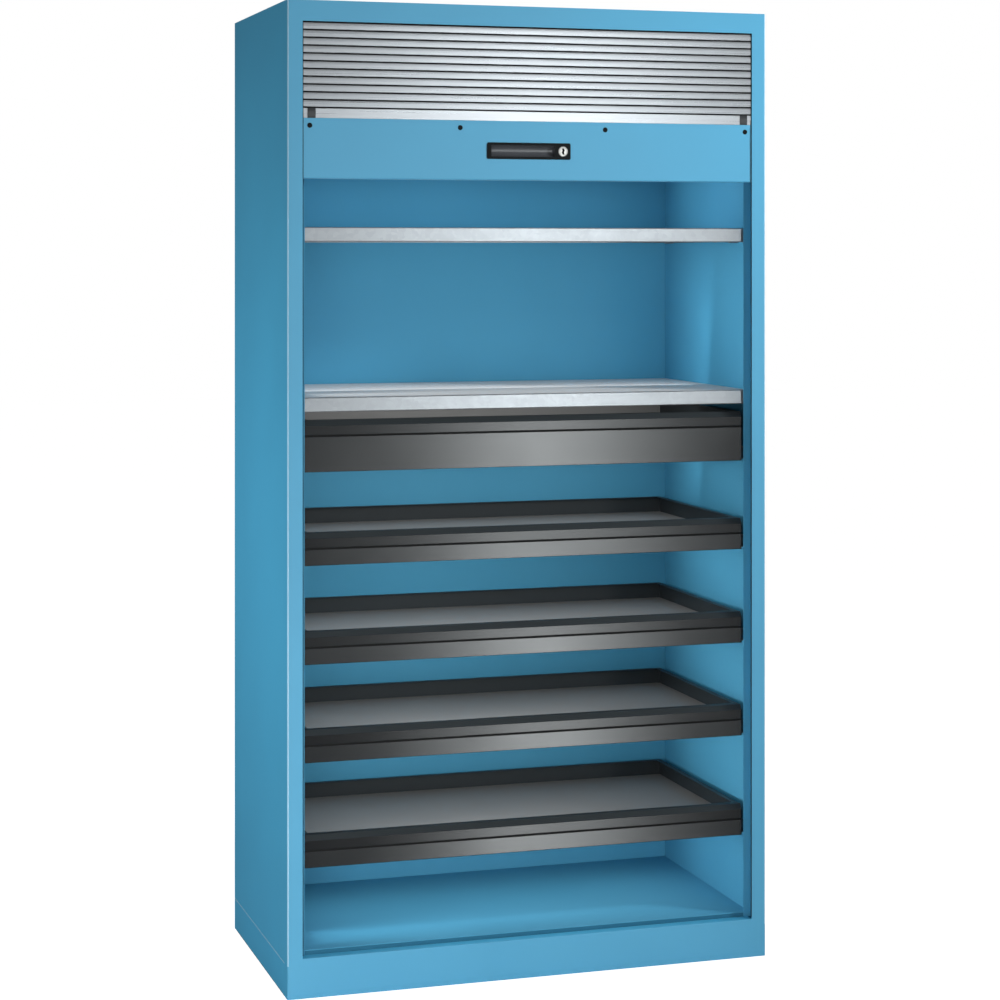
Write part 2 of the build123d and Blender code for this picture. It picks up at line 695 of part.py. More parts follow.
# ---------------------------------------------------------------- shelves
def shelf(top):
    """Sheet shelf, folded down and back along the front and rear, down at the sides."""
    half = WALL_X - SHELF_SIDE_PLAY
    front, rear = SHELF_FRONT, REAR_WALL - SHELF_REAR_PLAY
    low = top - SHELF_EDGE
    path = [
        (front + SHELF_RETURN, low), (front, low), (front, top),
        (rear, top), (rear, low), (rear - SHELF_RETURN, low),
    ]
    tray = along_x(folded_inward(path, SHELF_SHEET), -half, half)
    side = block(half - SHELF_SHEET, half, front, rear, low, top)
    return tray + side + mirrored(side)


def shelf_clips(top):
    """Four clips on the inner walls that one shelf rests on, each with a leg up its side."""
    seat = top - SHELF_EDGE
    low = seat - SHELF_SIDE_PLAY
    path = [(WALL_X - CLIP_REACH, low), (WALL_X, low), (WALL_X, seat + CLIP_RISE)]
    clips = []
    for depth in (SHELF_FRONT + CLIP_INSET, REAR_WALL - CLIP_INSET):
        clip = along_y(folded(path, SHELF_SIDE_PLAY), depth, depth + CLIP_WIDTH)
        clips += both_sides(clip)
    return clips


# ---------------------------------------------------------------- drawer and trays
def drawer_front(bottom, strip_top):
    """Folded front: face, groove, label strip, sloping band and closed ends."""
    face_top = strip_top - LABEL_STRIP - GROOVE
    deep = FRONT_DEPTH + GROOVE_DEEP
    back = TRAY_FRONT
    crest = FRONT_DEPTH + SLOPE_RUN
    rim = strip_top + SLOPE_RISE
    profile = [
        (back, 0), (FRONT_DEPTH, 0), (FRONT_DEPTH, face_top), (deep, face_top),
        (deep, face_top + GROOVE), (FRONT_DEPTH, face_top + GROOVE), (FRONT_DEPTH, strip_top),
        (crest, rim), (back, rim), (back, rim - FRONT_HEM),
    ]
    profile = [(depth, bottom + z) for depth, z in profile]
    sheet = along_x(folded_inward(profile, FRONT_SHEET), -FRONT_HALF, FRONT_HALF)
    ends = along_x(profile[:-1], FRONT_HALF - FRONT_SHEET, FRONT_HALF)
    return sheet + ends + mirrored(ends)


def tray_body(bottom, strip_top):
    """Floor and four walls with an inward rim; it stands on its runner rails."""
    low = bottom + TRAY_LIFT
    rim = bottom + strip_top + SLOPE_RISE
    half = FRONT_HALF
    outer = block(-half, half, TRAY_FRONT, TRAY_REAR, low, rim)
    mouth = half - TRAY_RIM
    opening = block(-mouth, mouth, TRAY_FRONT + TRAY_RIM, TRAY_REAR - TRAY_RIM, low + TRAY_SHEET, rim)
    inner = half - TRAY_SHEET
    hollow = block(
        -inner, inner, TRAY_FRONT + TRAY_SHEET, TRAY_REAR - TRAY_SHEET,
        low + TRAY_SHEET, rim - TRAY_SHEET,
    )
    return outer - hollow - opening


def tray_rail(bottom):
    """Right-hand channel under the tray, open towards the carriage."""
    top = bottom + TRAY_LIFT
    low = top - RUNNER
    path = [
        (TRAY_RAIL_OPEN, low), (TRAY_RAIL_WEB, low), (TRAY_RAIL_WEB, top), (TRAY_RAIL_OPEN, top),
    ]
    return along_y(folded_inward(path, RUNNER_SHEET), BAR_FRONT, TRAY_REAR)


def cabinet_rail(bottom):
    """Right-hand channel on the inner wall, open towards the carriage."""
    low = bottom + RUNNER_LIFT
    high = low + RUNNER
    edge = WALL_X - RUNNER_REACH
    path = [(edge, low), (WALL_X, low), (WALL_X, high), (edge, high)]
    return along_y(folded(path, RUNNER_SHEET), RUNNER_FRONT, TRAY_REAR)


def roller(x0, x1, side, depth, z):
    """Roller with the stub axle that holds it to the carriage bar."""
    wheel = many_sided_x(x0, x1, depth, z, ROLLER_D, ROLLER_SIDES)
    start = x0 - STUB_LENGTH if side > 0 else x1
    return wheel + many_sided_x(start, start + STUB_LENGTH, depth, z, STUB_D, STUB_SIDES)


def carriage(bottom):
    """Right-hand carriage: bar, rollers in the cabinet rail and in the tray rail."""
    outer_z = bottom + RUNNER_LIFT + RUNNER / 2
    inner_z = bottom + TRAY_LIFT - RUNNER / 2
    middle = (outer_z + inner_z) / 2
    solids = [block(
        BAR_INNER, BAR_OUTER, BAR_FRONT, BAR_FRONT + BAR_LENGTH,
        middle - BAR_HEIGHT / 2, middle + BAR_HEIGHT / 2,
    )]
    outer_face = WALL_X - RUNNER_SHEET - ROLLER_SIDE_PLAY
    inner_face = TRAY_RAIL_WEB + RUNNER_SHEET + ROLLER_SIDE_PLAY
    for place in OUTER_ROLLERS:
        solids.append(roller(BAR_OUTER + STUB_LENGTH, outer_face, 1, BAR_FRONT + place, outer_z))
    for place in INNER_ROLLERS:
        solids.append(roller(inner_face, BAR_INNER - STUB_LENGTH, -1, BAR_FRONT + place, inner_z))
    return solids


def main():
    os.makedirs("parts", exist_ok=True)

    panel, wall, guide = side_panel(), side_wall(), guide_rail()
    write("side_panel_right", [panel])
    write("side_panel_left", [mirrored(panel)])
    write("side_wall_right", [wall])
    write("side_wall_left", [mirrored(wall)])
    write("guide_rail_right", [guide])
    write("guide_rail_left", [mirrored(guide)])
    write("rear_panel", [rear_panel()])
    write("rear_wall", [rear_wall()])
    write("top_panel", [top_panel()])
    write("top_rail", [top_rail()])
    write("sill", [sill()])
    write("plinth", [plinth()])
    write("base_channels", base_channels())
    write("floor_panel", [floor_panel()])

    write("curtain_slats", lead_slats())
    write("end_slat", [end_slat()])
    write("stop_blocks", stop_blocks())
    write("pull_panel", [pull_panel()])
    write("panel_buttons", panel_buttons())
    for layer in range(1, SECTIONS + 1):
        write(f"curtain_section_{layer + 1}", section(layer))

    write("handle_housing", [handle_housing()])
    write("lock_body", [lock_body()])
    write("lock_plug", [lock_plug()])
    write("lock_cam", [lock_cam()])
    write("lock_rod_left", [lock_rod(-1)])
    write("lock_rod_right", [lock_rod(1)])
    write("rod_guides", rod_guides())

    write("box_cover", [box_cover()])
    write("shaft_brackets", shaft_brackets())
    write("shaft_axle", [shaft_axle()])
    write("spring_shaft", [spring_shaft()])
    write("shaft_bearings", shaft_bearings())
    write("balance_springs", balance_springs())
    write("belt_drums", belt_drums())

    clips = []
    for name, top in SHELF_TOPS.items():
        write(f"shelf_{name}", [shelf(top)])
        clips += shelf_clips(top)
    write("shelf_clips", clips)

    cabinet_rails = []
    for name, (bottom, strip_top) in DRAWERS.items():
        write(f"{name}_front", [drawer_front(bottom, strip_top)])
        write(f"{name}_body", [tray_body(bottom, strip_top)] + both_sides(tray_rail(bottom)))
        right_carriage = carriage(bottom)
        write(f"{name}_carriage", right_carriage + [mirrored(solid) for solid in right_carriage])
        cabinet_rails += both_sides(cabinet_rail(bottom))
    write("cabinet_rails", cabinet_rails)


main()
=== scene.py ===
"""Looks of the roll front tool cabinet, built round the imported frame.

Every size below is in millimetres, in the frame of the solids: X to the right, Z up, and depths
counted from the front plane towards the rear. Meshes are written in metres.
"""
import logging
import math
from collections.abc import Sequence
from dataclasses import dataclass, replace
from enum import Enum

import bmesh
import bpy
import numpy as np
from mathutils import Matrix, Vector


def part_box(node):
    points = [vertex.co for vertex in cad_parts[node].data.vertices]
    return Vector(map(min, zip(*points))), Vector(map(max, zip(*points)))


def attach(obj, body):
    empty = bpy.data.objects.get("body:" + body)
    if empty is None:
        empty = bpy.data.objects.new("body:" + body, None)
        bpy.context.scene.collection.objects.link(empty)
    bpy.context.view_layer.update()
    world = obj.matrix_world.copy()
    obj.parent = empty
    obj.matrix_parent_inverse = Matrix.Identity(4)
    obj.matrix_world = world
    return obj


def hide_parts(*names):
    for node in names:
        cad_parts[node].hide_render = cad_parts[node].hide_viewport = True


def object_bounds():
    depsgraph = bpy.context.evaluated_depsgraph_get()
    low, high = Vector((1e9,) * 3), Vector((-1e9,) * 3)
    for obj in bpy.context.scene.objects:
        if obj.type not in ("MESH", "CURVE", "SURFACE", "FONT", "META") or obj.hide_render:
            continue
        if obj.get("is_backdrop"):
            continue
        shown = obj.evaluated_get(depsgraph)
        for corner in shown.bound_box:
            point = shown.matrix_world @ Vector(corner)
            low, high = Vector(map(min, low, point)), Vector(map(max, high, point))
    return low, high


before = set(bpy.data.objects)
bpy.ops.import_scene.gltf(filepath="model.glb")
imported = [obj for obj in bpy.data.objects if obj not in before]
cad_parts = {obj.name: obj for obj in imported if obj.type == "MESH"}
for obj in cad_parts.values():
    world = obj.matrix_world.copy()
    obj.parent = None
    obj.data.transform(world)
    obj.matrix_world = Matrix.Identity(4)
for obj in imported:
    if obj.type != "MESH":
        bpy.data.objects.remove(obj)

log = logging.getLogger("cabinet")

MM = 0.001
SUPPORT = 0.4  # from a bend to the point that keeps the flat beside it flat in its shading
FLAT_SHARE = 0.4  # of the half width between two bends, the most that such a point may stand away
ARC_SHARE = 0.45  # of the shorter side beside a corner, the most that its arc may take up
SMOOTH = math.radians(32.0)  # edges with a smaller angle than this are shaded smooth
CAD_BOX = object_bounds()
FRONT_Y = CAD_BOX[0].y / MM
WHITE = (1.0, 1.0, 1.0, 1.0)
SIZES: dict[str, list[list[float]]] = {"loaded": [list(corner) for corner in CAD_BOX]}

PULL_OUTS = ("drawer", "tray_1", "tray_2", "tray_3", "tray_4")
FRONT_NODES = tuple(f"{name}_front" for name in PULL_OUTS)

Outline = Sequence[tuple[float, float]]  # points of a profile, or (radius, place) of a turned piece


# ---------------------------------------------------------------- places
@dataclass(frozen=True)
class Span:
    """Room that one node of the frame takes up, in millimetres."""

    x0: float
    x1: float
    d0: float
    d1: float
    z0: float
    z1: float

    @classmethod
    def of(cls, node: str) -> "Span":
        """Span of a node at rest.

        Args:
            node: Name of the node in the frame.

        Returns:
            Its lowest and highest X, depth and Z.
        """
        low, high = (np.array(corner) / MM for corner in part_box(node))
        return cls(low[0], high[0], low[1] - FRONT_Y, high[1] - FRONT_Y, low[2], high[2])

    @property
    def centre(self) -> tuple[float, float]:
        """Middle of the span in (x, z)."""
        return (self.x0 + self.x1) / 2, (self.z0 + self.z1) / 2


class Sweep(Enum):
    """Axis that a profile is carried along, and the two axes that it is drawn on."""

    ALONG_X = (2, 0, 1)
    ALONG_DEPTH = (0, 2, 1)
    ALONG_Z = (0, 1, 2)

    def place(self, profile: np.ndarray, at: float) -> np.ndarray:
        """Points of a profile at one place of the sweep.

        Args:
            profile: Rows of two numbers: (depth, z), (x, z) or (x, depth).
            at: Place along the sweep.

        Returns:
            Rows of x, y and z, with y counted from the frame's own origin.
        """
        three = np.column_stack([profile, np.full(len(profile), at)])
        points = three[:, list(self.value)]
        points[:, 1] += FRONT_Y
        return points


# ---------------------------------------------------------------- surfaces
@dataclass
class Shell:
    """A surface: points in millimetres, faces of three or more of them, a finish number per face."""

    points: np.ndarray
    faces: list[list[int]]
    finish: list[int]

    @classmethod
    def of(cls, points: np.ndarray, faces: list[list[int]], finish: int = 0) -> "Shell":
        """Surface with one finish number all over."""
        return cls(np.asarray(points, float), faces, [finish] * len(faces))

    def __add__(self, other: "Shell") -> "Shell":
        """Both surfaces as one.

        Args:
            other: The surface that is added.

        Returns:
            One surface with the faces of this one first.
        """
        shift = len(self.points)
        faces = self.faces + [[index + shift for index in face] for face in other.faces]
        return Shell(np.vstack([self.points, other.points]), faces, self.finish + other.finish)

    def mirrored(self) -> "Shell":
        """The same surface on the other side of the cabinet: x becomes minus x."""
        return Shell(self.points * [-1, 1, 1], [face[::-1] for face in self.faces], list(self.finish))

    def both_sides(self) -> "Shell":
        """The surface with its mirrored twin."""
        return self + self.mirrored()


def joined(shells: Sequence[Shell]) -> Shell:
    """One surface out of several.

    Args:
        shells: Surfaces, at least one.

    Returns:
        A surface with all their faces, in order.
    """
    total = shells[0]
    for shell in shells[1:]:
        total = total + shell
    return total


def grid_faces(rows: int, columns: int, around: bool) -> list[list[int]]:
    """Quads of a grid of points that is stored row by row.

    Args:
        rows: Number of rows.
        columns: Points in each row.
        around: True if each row is a closed ring.

    Returns:
        One list of four point numbers for each quad.
    """
    across = columns if around else columns - 1
    row, column = np.meshgrid(np.arange(rows - 1), np.arange(across), indexing="ij")
    here = row * columns + column
    beside = row * columns + (column + 1) % columns
    return np.stack([here, beside, beside + columns, here + columns], axis=-1).reshape(-1, 4).tolist()


def arc(centre: np.ndarray, radius: float, start: float, turn: float, steps: int) -> np.ndarray:
    """Points of an arc: centre plus radius times (cosine, sine) of evenly spaced angles."""
    angles = start + turn * np.linspace(0.0, 1.0, steps + 1)
    return centre + radius * np.column_stack([np.cos(angles), np.sin(angles)])


def corner_turn(before: np.ndarray, at: np.ndarray, after: np.ndarray) -> tuple[np.ndarray, float, float]:
    """How a line turns at a corner.

    Args:
        before: Point before the corner.
        at: The corner.
        after: Point after it.

    Returns:
        Direction into the corner, the angle of that direction, and how far the line turns there, with
        left turns positive.
    """
    into, out = at - before, after - at
    into = into / np.linalg.norm(into)
    out = out / np.linalg.norm(out)
    turn = math.atan2(into[0] * out[1] - into[1] * out[0], float(into @ out))
    return into, math.atan2(into[1], into[0]), turn


def bent(path: Outline, sheet: float, bend: float = 1.0, steps: int = 4) -> tuple[np.ndarray, np.ndarray]:
    """Both faces of a bent sheet, with the sheet to the left of its path.

    Each corner becomes two arcs about one centre. The face on the inside of the bend has the bend
    radius and the other face has that plus the sheet thickness.

    Args:
        path: Corner points of one face.
        sheet: Thickness.
        bend: Inside radius of every bend.
        steps: Steps in each arc.

    Returns:
        The path's face and the other face, with equally many points: one at each end, and steps + 3
        for each corner, the first and last of them on the flats.
    """
    corners = np.asarray(path, float)
    first, last = corners[1] - corners[0], corners[-1] - corners[-2]
    left_first = np.array([-first[1], first[0]]) / np.linalg.norm(first)
    left_last = np.array([-last[1], last[0]]) / np.linalg.norm(last)
    near, far = [corners[:1]], [corners[:1] + sheet * left_first]
    for before, at, after in zip(corners, corners[1:], corners[2:]):
        into, heading, turn = corner_turn(before, at, after)
        side = math.copysign(1.0, turn)
        radius = bend + sheet if turn > 0 else bend
        other = bend if turn > 0 else bend + sheet
        left = np.array([-into[1], into[0]])
        centre = at - into * radius * math.tan(abs(turn) / 2) + left * radius * side
        start = heading - side * math.pi / 2
        out = np.array([math.cos(heading + turn), math.sin(heading + turn)])
        for line, size in ((near, radius), (far, other)):
            curve = arc(centre, size, start, turn, steps)
            line.append(np.vstack([curve[0] - SUPPORT * into, curve, curve[-1] + SUPPORT * out]))
    near.append(corners[-1:])
    far.append(corners[-1:] + sheet * left_last)
    return np.vstack(near), np.vstack(far)


def loft(rings: Sequence[np.ndarray], finish: Sequence[int] | int = 0, closed_ends: bool = True) -> Shell:
    """Skin over rings of three-number points.

    Args:
        rings: Rings with equally many points, in order.
        finish: Finish number of all faces, or one for each band between two rings.
        closed_ends: Whether a face closes each end.

    Returns:
        The surface, with the end faces last.
    """
    count, bands = len(rings[0]), len(rings) - 1
    numbers = [finish] * bands if isinstance(finish, int) else list(finish)
    faces = grid_faces(len(rings), count, around=True)
    marks = [number for number in numbers for _ in range(count)]
    if closed_ends:
        faces += [list(range(count))[::-1], [bands * count + index for index in range(count)]]
        marks += [numbers[0], numbers[-1]]
    return Shell(np.vstack(rings), faces, marks)


def sheet_skin(rings: Sequence[np.ndarray]) -> Shell:
    """Skin over rings that each run along one face of a sheet and back along the other.

    Args:
        rings: Rings with equally many points, the first half of them on one face.

    Returns:
        The surface, with each cut end closed by a strip of quads between the two faces.
    """
    skin = loft(rings, closed_ends=False)
    around = len(rings[0])
    index = np.arange(around // 2 - 1)
    end = np.stack([index, index + 1, around - 2 - index, around - 1 - index], axis=-1)
    last = end + (len(rings) - 1) * around
    return Shell.of(skin.points, skin.faces + end.tolist() + last.tolist())


def sheet_shell(faces: tuple[np.ndarray, np.ndarray], sweep: Sweep, start: float, stop: float) -> Shell:
    """Bent sheet carried straight along one axis, closed at its cut edges.

    Args:
        faces: Both faces of the sheet in profile, with equally many points.
        sweep: The axis.
        start: Where the sheet starts on it.
        stop: Where the sheet ends on it.

    Returns:
        The surface, whose first quads follow the first face from its start.
    """
    ring = np.vstack([faces[0], faces[1][::-1]])
    return sheet_skin([sweep.place(ring, start), sweep.place(ring, stop)])


def rounded(outline: Outline, radius: float, steps: int = 3) -> np.ndarray:
    """Closed outline with every corner turned into an arc that touches both its sides.

    Args:
        outline: Corner points.
        radius: Radius of the arcs, which shrinks where a side is too short for it.
        steps: Steps in each arc.

    Returns:
        Rows of two numbers.
    """
    corners = np.asarray(outline, float)
    pieces = []
    for before, at, after in zip(np.roll(corners, 1, axis=0), corners, np.roll(corners, -1, axis=0)):
        into, heading, turn = corner_turn(before, at, after)
        room = ARC_SHARE * min(np.linalg.norm(at - before), np.linalg.norm(after - at))
        reach = min(radius * math.tan(abs(turn) / 2), room)
        size = reach / math.tan(abs(turn) / 2)
        side = math.copysign(1.0, turn)
        centre = at - into * reach + np.array([-into[1], into[0]]) * size * side
        pieces.append(arc(centre, size, heading - side * math.pi / 2, turn, steps))
    return np.vstack(pieces)


def bar_shell(outline: Outline, sweep: Sweep, start: float, stop: float) -> Shell:
    """Solid bar: a closed outline carried straight along one axis."""
    return loft([sweep.place(outline, start), sweep.place(outline, stop)])


def rectangle(u0: float, u1: float, v0: float, v1: float) -> Outline:
    """Corners of a rectangle."""
    return [(u0, v0), (u1, v0), (u1, v1), (u0, v1)]


def plate_shell(span: Span) -> Shell:
    """Plain flat plate that fills a span."""
    return bar_shell(rectangle(span.x0, span.x1, span.z0, span.z1), Sweep.ALONG_DEPTH, span.d0, span.d1)


def ring_points(
    u0: float, u1: float, v0: float, v1: float, radii: Sequence[float], steps: int = 5,
) -> np.ndarray:
    """Rounded rectangle with as many points on each corner as any other of its kind.

    Args:
        u0: Lowest first coordinate.
        u1: Highest first coordinate.
        v0: Lowest second coordinate.
        v1: Highest second coordinate.
        radii: Radius of the corners, from the lower right one anticlockwise.
        steps: Steps in each corner.

    Returns:
        A closed ring of four times (steps + 3) points, from the lower right corner anticlockwise. The
        first and last point of each corner lie on its sides.
    """
    signs = ((1, -1), (1, 1), (-1, 1), (-1, -1))
    quarter = math.pi / 2
    middle, reach = np.array([u0 + u1, v0 + v1]) / 2, np.array([u1 - u0, v1 - v0]) / 2
    corners = []
    for index, (sign, radius) in enumerate(zip(signs, radii)):
        start = (index - 1) * quarter
        curve = arc(middle + np.array(sign) * (reach - radius), radius, start, quarter, steps)
        room = min(SUPPORT, FLAT_SHARE * float(min(reach - radius)))
        before = np.array([math.sin(start), -math.cos(start)]) * room
        after = np.array([-math.sin(start + quarter), math.cos(start + quarter)]) * room
        corners.append(np.vstack([curve[0] + before, curve, curve[-1] + after]))
    return np.vstack(corners)


def framed_plate(room: Span, hole: Span) -> Shell:
    """Flat plate across the depth with a rectangular hole.

    Args:
        room: The plate.
        hole: The hole, of which only x and z count.

    Returns:
        The closed surface.
    """
    square = (0.0,) * 4
    outer = ring_points(room.x0, room.x1, room.z0, room.z1, square, 0)
    inner = ring_points(hole.x0, hole.x1, hole.z0, hole.z1, square, 0)
    way = ((outer, room.d0), (inner, room.d0), (inner, room.d1), (outer, room.d1), (outer, room.d0))
    return loft([Sweep.ALONG_DEPTH.place(ring, depth) for ring, depth in way], closed_ends=False)


def turned_rings(profile: Outline, centre: tuple[float, float], sweep: Sweep, sides: int) -> list[np.ndarray]:
    """Rings of a turned piece: centre plus radius times (cosine, sine) of evenly spaced angles.

    Args:
        profile: Radius and place along the axis, from one end to the other.
        centre: Where the axis lies, in the two numbers that the sweep's profiles use.
        sweep: The axis.
        sides: Points round the axis.

    Returns:
        One ring for each point of the profile.
    """
    angles = np.arange(sides) * 2 * math.pi / sides
    circle = np.column_stack([np.cos(angles), np.sin(angles)])
    return [sweep.place(np.array(centre) + radius * circle, at) for radius, at in profile]


def turned(profile: Outline, centre: tuple[float, float], sweep: Sweep, sides: int) -> Shell:
    """Turned piece with a face over each end."""
    return loft(turned_rings(profile, centre, sweep, sides))


# ---------------------------------------------------------------- shader nodes
def linear(code: str) -> tuple[float, float, float, float]:
    """Linear colour of an sRGB hex code.

    A share s of full brightness becomes s / 12.92 up to 0.04045, and ((s + 0.055) / 1.055) to the power
    of 2.4 above that.

    Args:
        code: Six hex digits such as 6FB4DC.

    Returns:
        Red, green, blue and an alpha of 1.
    """
    shares = (int(code[index:index + 2], 16) / 255 for index in (0, 2, 4))
    red, green, blue = (s / 12.92 if s <= 0.04045 else ((s + 0.055) / 1.055) ** 2.4 for s in shares)
    return red, green, blue, 1.0


def add_node(
    tree: bpy.types.NodeTree, kind: str, feeds: dict[str | int, object] | None = None, **settings: object,
) -> bpy.types.Node:
    """Adds a node with its settings and links.

    Args:
        tree: Node tree that gets the node.
        kind: Blender's name for the node type.
        feeds: For each input, an output socket to link or a plain value.
        settings: Attributes of the node.

    Returns:
        The new node.
    """
    node = tree.nodes.new(kind)
    for name, value in settings.items():
        setattr(node, name, value)
    for name, value in (feeds or {}).items():
        if isinstance(value, bpy.types.NodeSocket):
            tree.links.new(value, node.inputs[name])
        else:
            node.inputs[name].default_value = value
    return node


MIX_FACTOR, MIX_A, MIX_B, MIX_RESULT = 0, 6, 7, 2  # sockets of a mix node that mixes colours
USUAL = (0.3, 0.7)  # values between which noise stays nearly everywhere
FINE_DETAIL, SLOW_DETAIL, CLOUD_DETAIL = 2.0, 3.0, 4.0  # octaves of noise


def per_metre(size: float) -> float:
    """Texture scale that makes one cell or wave about this many millimetres wide."""
    return 1.0 / (size * MM)


@dataclass(frozen=True)
class Finish:
    """A surface finish: two base colours, gloss and the pattern that its making leaves."""

    name: str
    colour: str
    second: str
    roughness: float
    metallic: float = 0.0
    swing: float = 0.02

    def shader(self, tree: bpy.types.NodeTree, place: bpy.types.NodeSocket) -> dict[str, object]:
        """Inputs of the surface shader that this finish sets.

        Args:
            tree: Node tree of the material.
            place: Object coordinates in metres.

        Returns:
            Values or sockets, by the name of the shader's input.
        """
        raise NotImplementedError

    def material(self) -> bpy.types.Material:
        """The finish as a material, made once.

        Returns:
            The material, new or from an earlier call.
        """
        made = bpy.data.materials.get(self.name)
        if made:
            return made
        made = bpy.data.materials.new(self.name)
        made.use_nodes = True
        tree = made.node_tree
        tree.nodes.clear()
        place = add_node(tree, "ShaderNodeTexCoord").outputs["Object"]
        feeds = {"Metallic": self.metallic} | self.shader(tree, place)
        surface = add_node(tree, "ShaderNodeBsdfPrincipled", feeds)
        add_node(tree, "ShaderNodeOutputMaterial", {"Surface": surface.outputs["BSDF"]})
        return made

    def varied(
        self, tree: bpy.types.NodeTree, tone: bpy.types.NodeSocket, gloss: bpy.types.NodeSocket,
        tone_limits: tuple[float, float] = USUAL, gloss_limits: tuple[float, float] = USUAL,
    ) -> dict[str, object]:
        """Colour between the two colours, and roughness that swings to both sides, each led by a pattern.

        Args:
            tree: Node tree of the material.
            tone: Pattern that leads the colour.
            gloss: Pattern that leads the roughness.
            tone_limits: Values of the first pattern that give the first and the second colour.
            gloss_limits: Values of the second pattern that give the least and the most roughness.

        Returns:
            The surface shader's base colour and roughness.
        """
        share = add_node(tree, "ShaderNodeMapRange", {
            "Value": tone, "From Min": tone_limits[0], "From Max": tone_limits[1],
            "To Min": 0.0, "To Max": 1.0,
        })
        colour = add_node(tree, "ShaderNodeMix", {
            MIX_FACTOR: share.outputs["Result"], MIX_A: linear(self.colour), MIX_B: linear(self.second),
        }, data_type="RGBA")
        rough = add_node(tree, "ShaderNodeMapRange", {
            "Value": gloss, "From Min": gloss_limits[0], "From Max": gloss_limits[1],
            "To Min": self.roughness - self.swing, "To Max": self.roughness + self.swing,
        })
        return {"Base Color": colour.outputs[MIX_RESULT], "Roughness": rough.outputs["Result"]}


@dataclass(frozen=True)
class PowderCoat(Finish):
    """Polyester powder coat on steel: baked on, so it flows into a faint orange peel.

    The peel of a real coat is about 1 mm wide. It is drawn 3 mm wide, because at the distance of the
    view a finer one doesn't show. Slow changes in thickness make the colour and gloss drift slightly.
    """

    peel: float = 3.0
    peel_height: float = 0.012
    drift: float = 260.0
    specular: float = 0.5

    def shader(self, tree: bpy.types.NodeTree, place: bpy.types.NodeSocket) -> dict[str, object]:
        """Slow noise lets colour and gloss drift, and fine noise gives the peel.

        Args:
            tree: Node tree of the material.
            place: Object coordinates in metres.

        Returns:
            Values or sockets, by the name of the shader's input.
        """
        slow = add_node(tree, "ShaderNodeTexNoise", {
            "Vector": place, "Scale": per_metre(self.drift), "Detail": SLOW_DETAIL,
        }).outputs["Fac"]
        fine = add_node(tree, "ShaderNodeTexNoise", {
            "Vector": place, "Scale": per_metre(self.peel), "Detail": FINE_DETAIL,
        })
        bump = add_node(tree, "ShaderNodeBump", {
            "Height": fine.outputs["Fac"], "Strength": 1.0, "Distance": self.peel_height * MM,
        })
        return self.varied(tree, slow, slow) | {
            "Specular IOR Level": self.specular, "Normal": bump.outputs["Normal"],
        }


@dataclass(frozen=True)
class DrawnMetal(Finish):
    """Metal with fine lines along X, as an extrusion die leaves them.

    The real lines are some hundredths of a millimetre wide. They are drawn 0.8 mm wide to show.
    """

    swing: float = 0.03
    line: float = 0.8
    length: float = 240.0
    depth: float = 0.002

    def shader(self, tree: bpy.types.NodeTree, place: bpy.types.NodeSocket) -> dict[str, object]:
        """Noise that is stretched along the lines drives colour, gloss and a little bump.

        Args:
            tree: Node tree of the material.
            place: Object coordinates in metres.

        Returns:
            Values or sockets, by the name of the shader's input.
        """
        across = per_metre(self.line)
        stretched = add_node(tree, "ShaderNodeMapping", {
            "Vector": place, "Scale": (per_metre(self.length), across, across),
        })
        lines = add_node(tree, "ShaderNodeTexNoise", {
            "Vector": stretched.outputs["Vector"], "Scale": 1.0, "Detail": FINE_DETAIL,
        }).outputs["Fac"]
        bump = add_node(tree, "ShaderNodeBump", {
            "Height": lines, "Strength": 1.0, "Distance": self.depth * MM,
        })
        return self.varied(tree, lines, lines) | {"Normal": bump.outputs["Normal"]}


@dataclass(frozen=True)
class HotDipZinc(Finish):
    """Hot-dip galvanised sheet: the zinc freezes in flat crystals, the spangle, each with its own tone."""

    spangle: float = 9.0
    haze: float = 120.0
    tone_limits: tuple[float, float] = (0.0, 0.6)
    gloss_limits: tuple[float, float] = (0.0, 1.0)

    def shader(self, tree: bpy.types.NodeTree, place: bpy.types.NodeSocket) -> dict[str, object]:
        """Cells the size of the spangle shift colour and gloss a little, and slow haze shifts colour too.

        Args:
            tree: Node tree of the material.
            place: Object coordinates in metres.

        Returns:
            Values or sockets, by the name of the shader's input.
        """
        cells = add_node(tree, "ShaderNodeTexVoronoi", {"Vector": place, "Scale": per_metre(self.spangle)})
        cell = add_node(tree, "ShaderNodeSeparateColor", {"Color": cells.outputs["Color"]})
        haze = add_node(tree, "ShaderNodeTexNoise", {
            "Vector": place, "Scale": per_metre(self.haze), "Detail": CLOUD_DETAIL,
        })
        tone = add_node(tree, "ShaderNodeMath", {
            0: cell.outputs["Red"], 1: haze.outputs["Fac"],
        }, operation="MULTIPLY").outputs["Value"]
        return self.varied(tree, tone, cell.outputs["Green"], self.tone_limits, self.gloss_limits)


